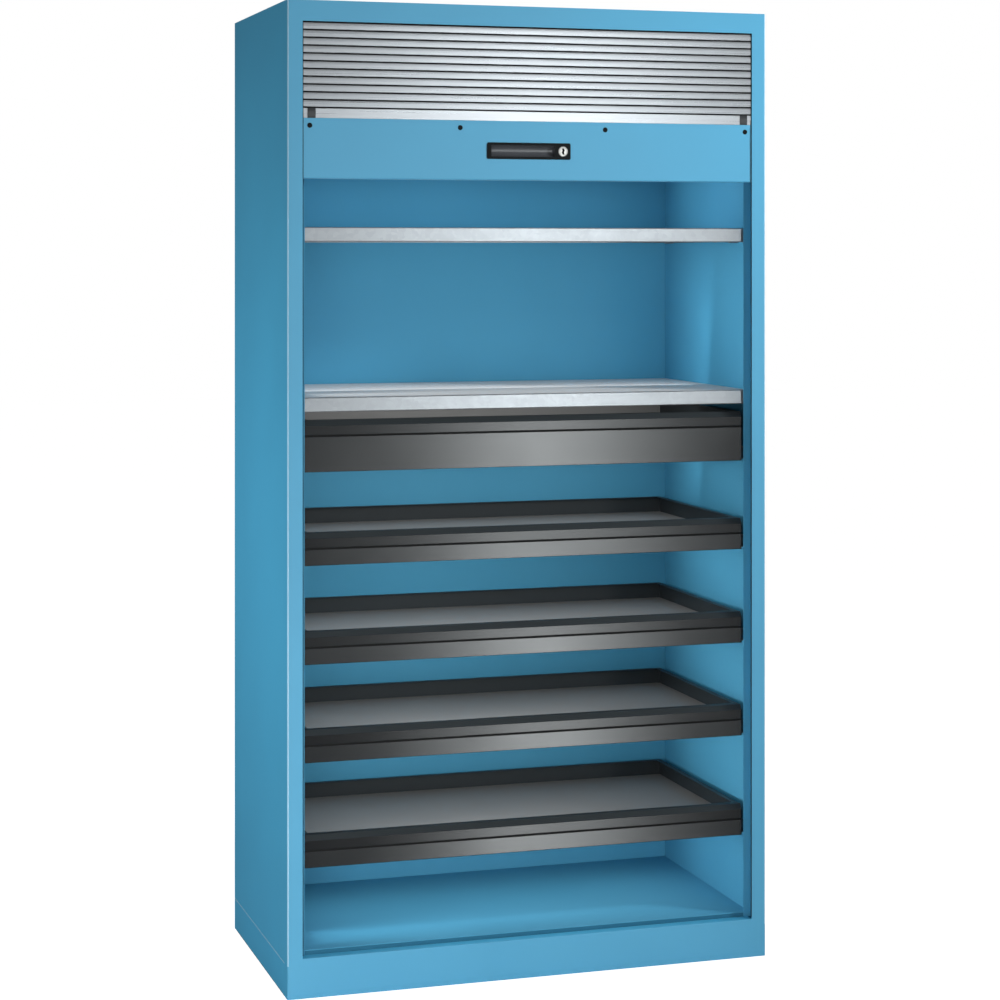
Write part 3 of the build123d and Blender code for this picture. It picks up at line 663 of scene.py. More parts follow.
@dataclass(frozen=True)
class Moulded(Finish):
    """Injection-moulded plastic: the spark-eroded mould leaves an even matt grain.

    The real grain is about 0.1 mm. It is drawn 0.9 mm wide to show in close views.
    """

    swing: float = 0.04
    grain: float = 0.9
    grain_height: float = 0.01
    tone: float = 40.0
    specular: float = 0.3

    def shader(self, tree: bpy.types.NodeTree, place: bpy.types.NodeSocket) -> dict[str, object]:
        """Fine noise gives the grain, and slow noise a faint change of tone.

        Args:
            tree: Node tree of the material.
            place: Object coordinates in metres.

        Returns:
            Values or sockets, by the name of the shader's input.
        """
        fine = add_node(tree, "ShaderNodeTexNoise", {
            "Vector": place, "Scale": per_metre(self.grain), "Detail": FINE_DETAIL,
        }).outputs["Fac"]
        slow = add_node(tree, "ShaderNodeTexNoise", {
            "Vector": place, "Scale": per_metre(self.tone), "Detail": FINE_DETAIL,
        }).outputs["Fac"]
        bump = add_node(tree, "ShaderNodeBump", {
            "Height": fine, "Strength": 1.0, "Distance": self.grain_height * MM,
        })
        return self.varied(tree, slow, fine) | {
            "Specular IOR Level": self.specular, "Normal": bump.outputs["Normal"],
        }


@dataclass(frozen=True)
class Plated(Finish):
    """Plated metal: an even bright layer, with a soft tint where the bath was thinner."""

    swing: float = 0.04
    cloud: float = 14.0

    def shader(self, tree: bpy.types.NodeTree, place: bpy.types.NodeSocket) -> dict[str, object]:
        """Small clouds shift tint and gloss.

        Args:
            tree: Node tree of the material.
            place: Object coordinates in metres.

        Returns:
            Values or sockets, by the name of the shader's input.
        """
        cloud = add_node(tree, "ShaderNodeTexNoise", {
            "Vector": place, "Scale": per_metre(self.cloud), "Detail": SLOW_DETAIL,
        }).outputs["Fac"]
        return self.varied(tree, cloud, cloud)


# The cabinet's blue: an even satin face with soft highlights.
BLUE_COAT = PowderCoat("blue_powder_coat_on_steel", "53AAD2", "57AFD7", 0.44, specular=0.5)
# A paler blue on the rounded bends: a painted highlight that draws each bend as a thin pale line.
BLUE_BEND_PAINTED_HIGHLIGHT = PowderCoat("blue_coat_painted_highlight_on_a_bend", "A6D6F0", "AEDBF3", 0.4)
# Darker copies of the blue, matter and with a weaker mirror: painted shade on the flanks and the inside, and
# deeper painted shade on the step before the floor.
BLUE_FLANK_PAINTED_SHADE = PowderCoat("blue_coat_painted_shade_on_the_flanks", "44A0C8", "48A5CD", 0.55, specular=0.1)
BLUE_INSIDE_PAINTED_SHADE = PowderCoat("blue_coat_painted_shade_on_the_inside", "4B98BB", "4F9CBF", 0.55, specular=0.1)
BLUE_STEP_PAINTED_SHADE = PowderCoat("blue_coat_painted_deep_shade_on_the_step", "31728E", "347693", 0.55, specular=0.1)
# A bead in the plinth seam, drawn pale: a painted highlight that shows as a pale line round the plinth.
SEALANT_PAINTED_HIGHLIGHT = Moulded("sealant_painted_highlight_in_plinth_seam", "E4DED2", "EAE5DA", 0.6)
# Gloss coat on the fronts: almost black, with clear mirror bands where the light meets it.
ANTHRACITE_COAT = PowderCoat("anthracite_powder_coat_on_steel", "1C1F21", "1F2224", 0.2, specular=0.6)
# Matt where hands and trays rub against it; its lighter grey than the fronts is painted light, a lit copy of
# the fronts' anthracite for the top bands and tray walls.
ANTHRACITE_MATT_PAINTED_LIGHT = PowderCoat("anthracite_coat_matt_painted_light_on_trays", "2E3437", "31373A", 0.45, specular=0.3)
# The label strip above the groove is a shade darker, painted shade for a face turned from the light, and has
# weaker mirror images.
ANTHRACITE_STRIP_PAINTED_SHADE = PowderCoat(
    "anthracite_coat_painted_shade_on_the_label_strip", "121417", "15181A", 0.2, specular=0.42,
)
# Plain mid grey floor that keeps what lies in the tray easy to see.
GREY_COAT = PowderCoat("grey_powder_coat_on_tray_floor", "828281", "888887", 0.45, specular=0.3)
# Anodising keeps the die lines of the extrusion, so highlights run lengthways on every slat.
SLAT_METAL = DrawnMetal("natural_anodised_aluminium_extruded", "93969A", "9C9FA3", 0.3, 0.85)
# The end slat comes from a second profile and batch, a shade paler.
SLAT_METAL_PALE = replace(
    SLAT_METAL, name="natural_anodised_aluminium_end_slat", colour="A0A3A7", second="A8ABAF",
)
# Cut and folded edges keep their bright zinc, with a faint pattern of crystals.
SHELF_ZINC = HotDipZinc("galvanised_steel_sheet", "95999D", "9CA0A4", 0.3, 0.65)
# Goods slid over the top wear it matt, so it mirrors the walls less than the folded edges do; its much paler
# colour is painted light from above.
SHELF_TOP_PAINTED_LIGHT = HotDipZinc("galvanised_steel_worn_matt_painted_light", "D2D3D3", "D9DADA", 0.7)
# Matt black from the mould's grain, which swallows highlights.
BLACK_PLASTIC = Moulded("black_polyamide_moulded", "0E1214", "121618", 0.5, specular=0.15)
# Smoother moulds leave these two with a soft shine, so their round faces read as round.
STOP_PLASTIC = Moulded("dark_grey_polyamide_moulded", "2C2F32", "323538", 0.32, specular=0.5)
# The grip's grey is painted light: the recess of the black moulding is drawn as if lit.
GRIP_PLASTIC_PAINTED_LIGHT = Moulded("grey_painted_light_in_the_grip", "484B50", "4E5156", 0.3, specular=0.5)
# Dull, nearly black rubber strips in the slat joints, at the edges of the opening and in the front grooves:
# dark strips put where there is shade, so each joint shows as a painted shadow line.
SEAL_RUBBER_PAINTED_SHADE = Moulded("black_rubber_strip_painted_shade_line", "0A0B0C", "0D0E0F", 0.7)
# Acetal is a little waxy: dark drums and off-white rollers with a soft sheen.
DRUM_PLASTIC = Moulded("dark_acetal_moulded", "1E1F22", "242529", 0.5)
ROLLER_PLASTIC = Moulded("white_acetal_moulded", "C9CBC8", "D2D4D1", 0.45)
# Nickel is a warm bright metal that mirrors softly.
NICKEL = Plated("nickel_plated_brass", "B0AFAC", "B8B7B4", 0.36, 1.0)
# Zinc plate is cooler and brighter than the galvanised sheet, without its crystals.
ZINC = Plated("zinc_plated_steel", "B4B8BB", "C2C6C9", 0.38, 1.0)
# Nothing lights the inside of the key slot.
KEY_DARK = Moulded("dark_inside_of_key_slot", "0B0C0D", "0E0F10", 0.6)


# ---------------------------------------------------------------- pieces
MERGE = 1e-6  # metres between points that become one
BEVEL_STEPS = 2


def add_piece(
    name: str, shell: Shell, body: str, finishes: Sequence[Finish], nodes: Sequence[str] = (),
    edge: float = 0.0,
) -> None:
    """Writes a surface to the scene as a piece that rides on a body.

    Args:
        name: Name of the piece.
        shell: Its surface, in millimetres.
        body: Body of the frame that it moves with.
        finishes: Finishes, in the order of the surface's finish numbers.
        nodes: Nodes of the frame that the piece stands for.
        edge: Width of the bevel on sharp edges, or 0 for none.
    """
    mesh = bpy.data.meshes.new(name)
    mesh.from_pydata(shell.points * MM, [], shell.faces)
    mesh.polygons.foreach_set("material_index", np.array(shell.finish, np.int32))
    work = bmesh.new()
    work.from_mesh(mesh)
    bmesh.ops.remove_doubles(work, verts=work.verts, dist=MERGE)
    bmesh.ops.recalc_face_normals(work, faces=work.faces)
    work.to_mesh(mesh)
    work.free()
    mesh.shade_smooth()
    mesh.set_sharp_from_angle(angle=SMOOTH)
    for finish in finishes:
        mesh.materials.append(finish.material())
    piece = bpy.data.objects.new(name, mesh)
    bpy.context.scene.collection.objects.link(piece)
    if edge:
        bevel = piece.modifiers.new("edge", "BEVEL")
        bevel.width = edge * MM
        bevel.segments = BEVEL_STEPS
        bevel.limit_method = "ANGLE"
        bevel.angle_limit = SMOOTH
        bevel.harden_normals = True
    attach(piece, body)
    if nodes:
        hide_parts(*nodes)
    log.info("%s rides on %s, %d points", name, body, len(shell.points))


def dress(node: str, finish: Finish) -> None:
    """Gives a node of the frame a finish in place of its plain one.

    Args:
        node: Name of the node, whose solid stays in view.
        finish: The finish.
    """
    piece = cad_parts[node]
    if not piece.material_slots:
        piece.data.materials.append(finish.material())
    for slot in piece.material_slots:
        slot.material = finish.material()
    log.info("%s keeps its solid, in %s", node, finish.name)


@dataclass(frozen=True)
class ScrewHead:
    """Low domed screw head on the rear face of a sheet, with a round drive in its middle."""

    radius: float = 3.6
    rise: float = 1.4
    crown_share: float = 0.35
    drive_share: float = 0.3
    drive_rise: float = 0.4
    sunk: float = 0.1
    dome_points: int = 4
    sides: int = 20

    def at(self, x: float, depth: float, z: float) -> Shell:
        """The head in its place.

        Over a quarter turn the dome has the radius times crown share + (1 - crown share) times cosine,
        at the rise times sine.

        Args:
            x: X of its axis.
            depth: Depth of the sheet's rear face.
            z: Height of its axis.

        Returns:
            The closed surface.
        """
        angles = np.linspace(0.0, math.pi / 2, self.dome_points)
        radii = self.radius * (self.crown_share + (1 - self.crown_share) * np.cos(angles))
        dome = zip(radii, depth + self.rise * np.sin(angles))
        drive = (self.drive_share * self.radius, depth + self.drive_rise * self.rise)
        profile = [(self.radius, depth - self.sunk), *dome, drive]
        return turned(profile, (x, z), Sweep.ALONG_DEPTH, self.sides)


# ---------------------------------------------------------------- casing
# Outside: the plain blue, a painted highlight for bends and painted shade for flanks. Inside: painted shade,
# and deeper painted shade for the step.
OUTSIDE = (BLUE_COAT, BLUE_BEND_PAINTED_HIGHLIGHT, BLUE_FLANK_PAINTED_SHADE)
INSIDE = (BLUE_INSIDE_PAINTED_SHADE, BLUE_STEP_PAINTED_SHADE)


@dataclass
class Casing:
    """Outer and inner sheets of the cabinet, all folded from painted steel."""

    skin: float = 1.5
    liner: float = 1.25
    bend: float = 1.0
    foot_bend: float = 0.1
    corner_steps: int = 6
    edge_points: int = 5
    sill_return: float = 30.0
    sill_web: float = 18.0
    tread_face: int = 7  # faces of a folded sheet are counted from the start of its path
    step_faces: tuple[int, ...] = (12, 13, 14)
    plate_edge: float = 0.4
    seal_lap: float = 1.5
    seal_front: float = 0.4
    seal_gap: float = 0.1
    foot: float = 25.0
    fold: float = 18.0
    wall_return: float = 15.0
    rear_flange: float = 15.0
    plinth_edge: float = 1.4
    seal_set: float = 0.25
    screw_inset: float = 8.0
    screws_up: int = 8

    def build(self) -> None:
        """Builds every sheet of the casing."""
        self.sides()
        self.sill()
        self.plinth()
        self.top()
        self.inner_walls()
        self.floor()
        self.rear()
        self.shade_line_seals()
        # The guide rails and base channels get the blue with painted shade of the inside.
        for node in ("guide_rail_left", "guide_rail_right", "base_channels"):
            dress(node, BLUE_INSIDE_PAINTED_SHADE)

    def sheet(
        self, name: str, shell: Shell, node: str, finishes: Sequence[Finish] = OUTSIDE, edge: float = 0.0,
    ) -> None:
        """One painted sheet that stands for one node."""
        add_piece(name, shell, "cabinet", finishes, [node], edge)

    def sides(self) -> None:
        """Side panels: front stile, rounded corner, skin and rear flange, with a painted highlight on the
        corner and painted shade on the skin.
        """
        room = Span.of("side_panel_right")
        path = [(room.x0, 0.0), (room.x1, 0.0), (room.x1, room.d1), (room.x1 - self.rear_flange, room.d1)]
        folded = bent(path, self.skin, self.bend, self.corner_steps)
        right = sheet_shell(folded, Sweep.ALONG_Z, room.z0, room.z1)
        # The arc of the corner gets the painted highlight, the side skin the painted shade of the flanks.
        for face in range(2, self.corner_steps + 2):
            right.finish[face] = 1
        right.finish[self.corner_steps + 3] = 2
        self.sheet("side_sheet_right", right, "side_panel_right")
        self.sheet("side_sheet_left", right.mirrored(), "side_panel_left")

    def sill(self) -> None:
        """Bottom rail: wrapped face, band between the stiles, tread, rear lip and the web behind."""
        room, stile = Span.of("sill"), Span.of("side_panel_right")
        seam = stile.z0
        path = [(room.x0, self.sill_return), (room.x0, 0.0), (room.x1, 0.0), (room.x1, self.sill_return)]
        wrap = sheet_shell(bent(path, self.skin, self.bend, self.corner_steps), Sweep.ALONG_Z, 0.0, seam)
        # The wrap's side returns get the blue with painted shade of the flanks.
        wrap.finish[0] = wrap.finish[2 * (self.corner_steps + 3)] = 2
        tread_back = Span.of("floor_panel").d0
        path = [(tread_back, room.z1 - self.fold), (tread_back, room.z1), (0.0, room.z1), (0.0, seam)]
        tread = sheet_shell(bent(path, self.skin, self.bend / 2), Sweep.ALONG_X, -stile.x0, stile.x0)
        # The tread's top face gets the blue with painted shade, so the step reads as a dark band.
        tread.finish[self.tread_face] = 2
        inside = room.x1 - self.skin
        web = Span(-inside, inside, self.skin, 2 * self.skin, seam - self.sill_web, room.z1 - self.skin)
        self.sheet("sill_sheet", wrap + tread + plate_shell(web), "sill")

    def plinth(self) -> None:
        """Plinth walls with a rounded upper edge, which catches the light, and the foot flange."""
        room = Span.of("plinth")
        front = self.sill_return
        path = [(room.x1, front), (room.x1, room.d1), (room.x0, room.d1), (room.x0, front)]
        near, far = bent(path, self.skin, self.bend, self.corner_steps)
        inward = (far - near) / self.skin
        rings = [Sweep.ALONG_Z.place(np.vstack([near, far[::-1]]), 0.0)]
        for angle in np.linspace(0.0, math.pi / 2, self.edge_points):
            line = np.vstack([near + inward * self.plinth_edge * (1 - math.cos(angle)), far[::-1]])
            rings.append(Sweep.ALONG_Z.place(line, room.z1 - self.plinth_edge * (1 - math.sin(angle))))
        walls = sheet_skin(rings)
        foot = sheet_shell(bent(path, self.foot, self.foot_bend, 2), Sweep.ALONG_Z, 0.0, self.skin)
        # The plinth walls get the blue with painted shade of the flanks.
        walls.finish = [2] * len(walls.finish)
        self.sheet("plinth_sheet", walls + foot, "plinth")
        # The bead under the side panels is drawn pale, as a painted highlight along the plinth's upper edge.
        seam = Span.of("side_panel_right").z0
        left, right, rear = room.x0 + self.seal_set, room.x1 - self.seal_set, room.d1 - self.seal_set
        path = [(right, front), (right, rear), (left, rear), (left, front)]
        line = bent(path, self.skin / 2, self.bend, self.corner_steps)
        bead = sheet_shell(line, Sweep.ALONG_Z, room.z1 - self.plinth_edge, seam)
        add_piece("plinth_seam_highlight_bead", bead, "cabinet", [SEALANT_PAINTED_HIGHLIGHT])

    def top(self) -> None:
        """Top panel with folded sides, and the rail above the opening with its flange."""
        room, rail = Span.of("top_panel"), Span.of("top_rail")
        low = room.z1 - self.fold
        path = [(room.x1, low), (room.x1, room.z1), (room.x0, room.z1), (room.x0, low)]
        cap = sheet_shell(bent(path, self.skin, self.bend), Sweep.ALONG_DEPTH, room.d0, room.d1)
        self.sheet("top_sheet", cap, "top_panel")
        face = plate_shell(replace(rail, d1=self.skin))
        flange = replace(rail, d0=self.skin, z0=rail.z1 - 2 * self.skin, z1=rail.z1 - self.skin)
        self.sheet("top_rail_sheet", face + plate_shell(flange), "top_rail")

    def inner_walls(self) -> None:
        """Inner side walls, inner rear wall and the cover that closes the curtain box."""
        room = Span.of("side_wall_right")
        out = room.x0 + self.wall_return
        path = [(out, room.d1), (room.x0, room.d1), (room.x0, room.d0), (out, room.d0)]
        right = sheet_shell(bent(path, self.liner, self.bend), Sweep.ALONG_Z, room.z0, room.z1)
        self.sheet("inner_wall_right", right, "side_wall_right", INSIDE)
        self.sheet("inner_wall_left", right.mirrored(), "side_wall_left", INSIDE)
        self.sheet("inner_wall_rear", plate_shell(Span.of("rear_wall")), "rear_wall", INSIDE, self.plate_edge)
        cover = Span.of("box_cover")
        up = cover.z0 + self.wall_return
        path = [(cover.d0, up), (cover.d0, cover.z0), (cover.d1, cover.z0), (cover.d1, cover.z1)]
        box = sheet_shell(bent(path, self.liner, self.bend), Sweep.ALONG_X, cover.x0, cover.x1)
        self.sheet("curtain_box_sheet", box, "box_cover", INSIDE)

    def floor(self) -> None:
        """Floor of the inside, one step above the sill."""
        room = Span.of("floor_panel")
        path = [(room.d1, room.z0), (room.d1, room.z1), (room.d0, room.z1), (room.d0, room.z0)]
        shell = sheet_shell(bent(path, self.liner, self.bend), Sweep.ALONG_X, room.x0, room.x1)
        # The step at the front of the floor gets the blue with deeper painted shade.
        for face in self.step_faces:
            shell.finish[face] = 1
        self.sheet("floor_sheet", shell, "floor_panel", INSIDE)

    def rear(self) -> None:
        """Rear panel with the screws along both sides."""
        room = Span.of("rear_panel")
        self.sheet("rear_sheet", plate_shell(room), "rear_panel", edge=self.plate_edge)
        edge = Span.of("top_panel").x1 - self.screw_inset - self.rear_flange
        heights = np.linspace(room.z0 + 3 * self.foot, room.z1 - 3 * self.foot, self.screws_up)
        head = ScrewHead()
        heads = joined([head.at(edge, room.d1, z) for z in heights]).both_sides()
        add_piece("rear_panel_screws", heads, "cabinet", [ZINC])

    def shade_line_seals(self) -> None:
        """Black rubber strips along the stiles and the top rail, in front of the curtain: painted shade that
        draws the opening's edges as dark lines.
        """
        stile, rail = Span.of("side_panel_right"), Span.of("top_rail")
        back = Span.of("curtain_slats").d0 - self.seal_gap
        beside = Span(
            stile.x0 - self.seal_lap, stile.x0, self.seal_front, back, stile.z0 + self.fold, rail.z0,
        )
        above = Span(-stile.x0, stile.x0, self.seal_front, back, rail.z0 - self.seal_lap, rail.z0)
        shell = plate_shell(beside).both_sides() + plate_shell(above)
        add_piece("opening_shade_line_seals", shell, "cabinet", [SEAL_RUBBER_PAINTED_SHADE])


# ---------------------------------------------------------------- curtain
HANDLE_RIM = 3.0  # how far the handle plate laps over the edge of its cut-out in the pull panel


@dataclass
class Curtain:
    """The roll front: slats with their seals, end slat with its stops, and pull panel with its buttons."""

    pitch: float = 15.2
    face: float = 12.7
    thick: float = 2.6
    tongue: float = 1.1
    tongue_reach: float = 2.7
    play: float = 0.3
    crown: float = 0.35
    edge: float = 0.6
    face_share: float = 0.92
    face_points: int = 7
    roll: float = 0.96
    roll_near: float = 0.3
    roll_far: float = 0.8
    seal_gap: float = 0.02
    seal_lap: float = 0.1
    sections: int = 6
    stop_width: float = 16.0
    stop_edge: float = 0.5
    stop_points: int = 11
    panel_sheet: float = 1.5
    panel_lip: float = 12.0
    panel_bend: float = 1.2
    panel_steps: int = 5
    button: Outline = ((1.0, 0.0), (1.0, 0.25), (0.93, 0.62), (0.75, 0.88), (0.4, 1.0))
    button_neck: float = 2.2
    button_sides: int = 36
    buttons_across: int = 4

    def slat(self) -> np.ndarray:
        """Closed (depth, z) outline of a slat whose front and foot are at zero.

        The face is a parabola, depth = crown times share squared, so its middle stands a third of a
        millimetre proud of its edges. It rolls over into the joint with a small radius.

        Returns:
            Rows of depth and z.
        """
        share = np.linspace(-1.0, 1.0, self.face_points)
        face = np.column_stack([self.crown * share ** 2, self.face / 2 * (1 - share * self.face_share)])
        near, rise = self.crown + self.edge * self.roll_near, self.roll * self.roll_near
        far = self.crown + self.roll * self.roll_far
        rebate = self.thick - self.tongue - self.play
        notch = self.tongue_reach + 2 * self.play
        inner, top = self.thick - self.tongue, self.pitch + self.tongue_reach
        rest = [
            (near, rise), (far, 0.0), (rebate, 0.0), (rebate, notch), (self.thick, notch), (self.thick, top),
            (inner, top), (inner, self.face), (far, self.face), (near, self.face - rise),
        ]
        return np.vstack([face, rest])

    def stretch(self, node: str, count: int) -> Shell:
        """A row of slats in the place of a node of the frame.

        Args:
            node: Node of the row.
            count: Slats in the row.

        Returns:
            One closed bar for each slat, from the lowest up.
        """
        room = Span.of(node)
        outline = self.slat()
        feet = [np.array([room.d0, room.z0 + index * self.pitch]) for index in range(count)]
        return joined([bar_shell(outline + foot, Sweep.ALONG_X, room.x0, room.x1) for foot in feet])

    def shade_line_seals(self, node: str, count: int, extra: int) -> Shell:
        """Black rubber strips in the joints of a row of slats, just behind the faces: painted shade that
        draws each joint as a dark line.

        Args:
            node: Node of the row.
            count: Slats in the row.
            extra: 1 to seal the joint under the lowest slat as well, or 0.

        Returns:
            One thin strip for each joint.
        """
        room = Span.of(node)
        front, back = room.d0 + self.crown + self.edge, room.d1 - self.tongue - self.seal_gap
        joints = [room.z0 + index * self.pitch for index in range(1 - extra, count)]
        low, high = self.face - self.pitch - self.seal_lap, self.seal_lap
        return joined([
            plate_shell(Span(room.x0, room.x1, front, back, joint + low, joint + high)) for joint in joints
        ])

    def row(self, name: str, node: str, body: str, extra: int) -> None:
        """One row of slats with its seals.

        Args:
            name: Name of the row, for its pieces.
            node: Node of the row.
            body: Body that it moves with.
            extra: 1 to seal the joint under the lowest slat as well, or 0.
        """
        room = Span.of(node)
        count = round((room.z1 - room.z0 - self.tongue_reach) / self.pitch)
        add_piece(f"slats_{name}", self.stretch(node, count), body, [SLAT_METAL], [node])
        add_piece(f"seals_{name}", self.shade_line_seals(node, count, extra), body, [SEAL_RUBBER_PAINTED_SHADE])

    def build(self) -> None:
        """Builds the lead stretch, the stored stretches, the end slat and the panel."""
        self.row("lead", "curtain_slats", "roll_front", 1)
        for number in range(2, self.sections + 2):
            body = f"curtain_{number}" if number <= self.sections else "cabinet"
            self.row(f"stored_{number}", f"curtain_section_{number}", body, 0)
        self.end_slat()
        self.stops()
        self.panel()
        self.buttons()

    def end_slat(self) -> None:
        """Taller last slat with a rolled lower edge and a skirt behind the panel."""
        room, panel = Span.of("end_slat"), Span.of("pull_panel")
        back, top = room.d1, room.z1
        joint = top - self.tongue_reach - (self.pitch - self.face)
        inner = back - self.tongue
        shoulder, low = room.d0 + self.crown / 3, panel.z1 + self.play
        outline = [
            (room.d0 + self.crown, low), (inner, low), (inner, room.z0), (back, room.z0), (back, top),
            (inner, top), (inner, joint), (room.d0 + self.edge, joint), (shoulder, joint - self.edge),
            (room.d0, (joint + panel.z1) / 2), (shoulder, panel.z1 + self.edge),
        ]
        shell = bar_shell(outline, Sweep.ALONG_X, room.x0, room.x1)
        add_piece("end_slat_profile", shell, "roll_front", [SLAT_METAL_PALE], ["end_slat"])

    def stops(self) -> None:
        """Dark stop blocks on the end slat, each with a face that is a parabola in (depth, z)."""
        room = Span.of("stop_blocks")
        height, bulge = room.z1 - room.z0, room.d1 - room.d0 - self.stop_edge
        share = np.linspace(-1.0, 1.0, self.stop_points)
        face = np.column_stack([room.d0 + bulge * share ** 2, room.z0 + height * (1 + share) / 2])
        outline = np.vstack([face, [(room.d1, room.z1), (room.d1, room.z0)]])
        blocks = bar_shell(outline, Sweep.ALONG_X, room.x1 - self.stop_width, room.x1).both_sides()
        add_piece(
            "stop_blocks_moulded", blocks, "roll_front", [STOP_PLASTIC], ["stop_blocks"],
        )

    def panel(self) -> None:
        """Pull panel: flat sheet with the cut-out for the handle, and a fold along its foot."""
        room, handle = Span.of("pull_panel"), Span.of("handle_housing")
        split = handle.z0
        path = [(room.d0, split), (room.d0, room.z0), (room.d1, room.z0), (room.d1, room.z0 + self.panel_lip)]
        folded = bent(path, self.panel_sheet, self.panel_bend, self.panel_steps)
        fold = sheet_shell(folded, Sweep.ALONG_X, room.x0, room.x1)
        back = room.d0 + self.panel_sheet
        flat = framed_plate(Span(room.x0, room.x1, room.d0, back, split, room.z1), Span(
            handle.x0 + HANDLE_RIM, handle.x1 - HANDLE_RIM, room.d0, back,
            handle.z0 + HANDLE_RIM, handle.z1 - HANDLE_RIM,
        ))
        add_piece("pull_panel_sheet", fold + flat, "roll_front", [BLUE_COAT], ["pull_panel"])

    def buttons(self) -> None:
        """Round black buttons: domed heads with a small flat crown, on square necks."""
        room = Span.of("panel_buttons")
        radius, centre = (room.z1 - room.z0) / 2, room.centre[1]
        places = np.linspace(room.x0 + radius, room.x1 - radius, self.buttons_across)
        sheet = Span.of("pull_panel").d0
        rise = sheet - room.d0
        profile = [(share * radius, sheet - part * rise) for share, part in self.button]
        heads = [turned(profile, (x, centre), Sweep.ALONG_DEPTH, self.button_sides) for x in places]
        half = self.button_neck
        low, high = centre - half, centre + half
        necks = [plate_shell(Span(x - half, x + half, sheet, room.d1, low, high)) for x in places]
        add_piece(
            "panel_buttons_moulded", joined(heads + necks), "roll_front", [BLACK_PLASTIC],
            ["panel_buttons"],
        )


@dataclass
class Handle:
    """Moulded handle plate with its finger recess, and the cylinder lock in it."""

    corner: float = 3.0
    edge: float = 0.5
    edge_points: int = 4
    inset: float = 9.0
    width: float = 133.0
    height: float = 23.0
    deep: float = 10.0
    scoop_steps: int = 20
    scoop_play: float = 0.01
    seat_radius: float = 10.1
    seat_play: float = 0.1
    plug_radius: float = 7.5
    plug_play: float = 0.05
    plug_rim: float = 0.25
    plug_arc: float = 0.42
    plug_points: int = 11
    barrel_rim: float = 0.35
    barrel_bevel: float = 0.1
    barrel_sides: int = 48
    slot: tuple[float, float, float] = (4.4, 12.2, 1.0)
    slot_waves: float = 1.5
    slot_deep: float = 7.0

    def build(self) -> None:
        """Builds the plate, the lock's parts and the rods behind it."""
        self.housing()
        self.barrel()
        self.plug()
        for node in ("lock_cam", "lock_rod_left", "lock_rod_right"):
            dress(node, ZINC)
        dress("rod_guides", BLACK_PLASTIC)

    def scoop(self, span: Span, front: float) -> Shell:
        """Finger recess: an arc of a circle in (depth, z), carried along X, with flat ends.

        Args:
            span: Mouth of the recess.
            front: Depth of the plate's face.

        Returns:
            The recess, open at its mouth.
        """
        chord = (span.z1 - span.z0) / 2
        radius = (chord ** 2 + self.deep ** 2) / (2 * self.deep)
        half = math.asin(chord / radius)
        reach = half if radius > self.deep else math.pi - half
        centre = np.array([front + self.deep - radius, span.centre[1]])
        line = arc(centre, radius, -reach, 2 * reach, self.scoop_steps)
        points = np.vstack([Sweep.ALONG_X.place(line, span.x0), Sweep.ALONG_X.place(line, span.x1)])
        count = len(line)
        ends = [list(range(count)), list(range(2 * count - 1, count - 1, -1))]
        # Finish 1 is the grey with painted light on the recess.
        return Shell.of(points, grid_faces(2, count, around=False) + ends, 1)

    def housing(self) -> None:
        """Plate in two zones, one round the recess and one round the lock, with a body behind."""
        room, panel = Span.of("handle_housing"), Span.of("pull_panel")
        lock = Span.of("lock_body")
        front, seat = room.d0, panel.d0
        x, z = lock.centre
        mouth = Span(
            room.x0 + self.inset, room.x0 + self.inset + self.width, front, front,
            z - self.height / 2, z + self.height / 2,
        )
        join = (mouth.x1 + lock.x0) / 2
        low, high, bore = room.z0, room.z1, self.seat_radius
        place = Sweep.ALONG_DEPTH.place
        recess = ring_points(mouth.x0, mouth.x1, mouth.z0, mouth.z1, (0.0,) * 4)
        circle = ring_points(x - bore, x + bore, z - bore, z + bore, (bore,) * 4)
        zones = (
            (room.x0, join, (0.0, 0.0, self.corner, self.corner), (1, 0), [place(recess, front)]),
            (join, room.x1, (self.corner, self.corner, 0.0, 0.0), (0, 1),
             [place(circle, front), place(circle, room.d1)]),
        )
        shells = [self.scoop(mouth, front)]
        for x0, x1, radii, (left, right), inside in zones:
            rings = [place(ring_points(x0, x1, low, high, radii), seat)]
            for angle in np.linspace(0.0, math.pi / 2, self.edge_points):
                shift = self.edge * (1 - math.cos(angle))
                ring = ring_points(x0 + shift * left, x1 - shift * right, low + shift, high - shift, radii)
                rings.append(place(ring, front + self.edge * (1 - math.sin(angle))))
            shells.append(loft(rings + inside, closed_ends=False))
        behind = Span(
            room.x0 + HANDLE_RIM, room.x1 - HANDLE_RIM, seat, room.d1, low + HANDLE_RIM, high - HANDLE_RIM,
        )
        hole = Span(
            mouth.x0 + self.scoop_play, lock.x1 + self.seat_play, seat, room.d1,
            mouth.z0 + self.scoop_play, mouth.z1 - self.scoop_play,
        )
        shells.append(framed_plate(behind, hole))
        add_piece(
            "handle_moulding", joined(shells), "roll_front", [BLACK_PLASTIC, GRIP_PLASTIC_PAINTED_LIGHT],
            ["handle_housing"],
        )

    def barrel(self) -> None:
        """Ring of the lock, with rounded rims."""
        room = Span.of("lock_body")
        outer, inner = (room.x1 - room.x0) / 2, self.plug_radius + self.plug_play
        rim, bevel, front, back = self.barrel_rim, self.barrel_bevel, room.d0, room.d1
        profile = [
            (inner, front + bevel), (inner + bevel, front), (outer - rim, front),
            (outer - bevel, front + bevel), (outer, front + rim), (outer, back), (inner, back),
        ]
        rings = turned_rings(profile, room.centre, Sweep.ALONG_DEPTH, self.barrel_sides)
        ring = loft([*rings, rings[0]], closed_ends=False)
        add_piece("lock_barrel", ring, "roll_front", [NICKEL], ["lock_body"])

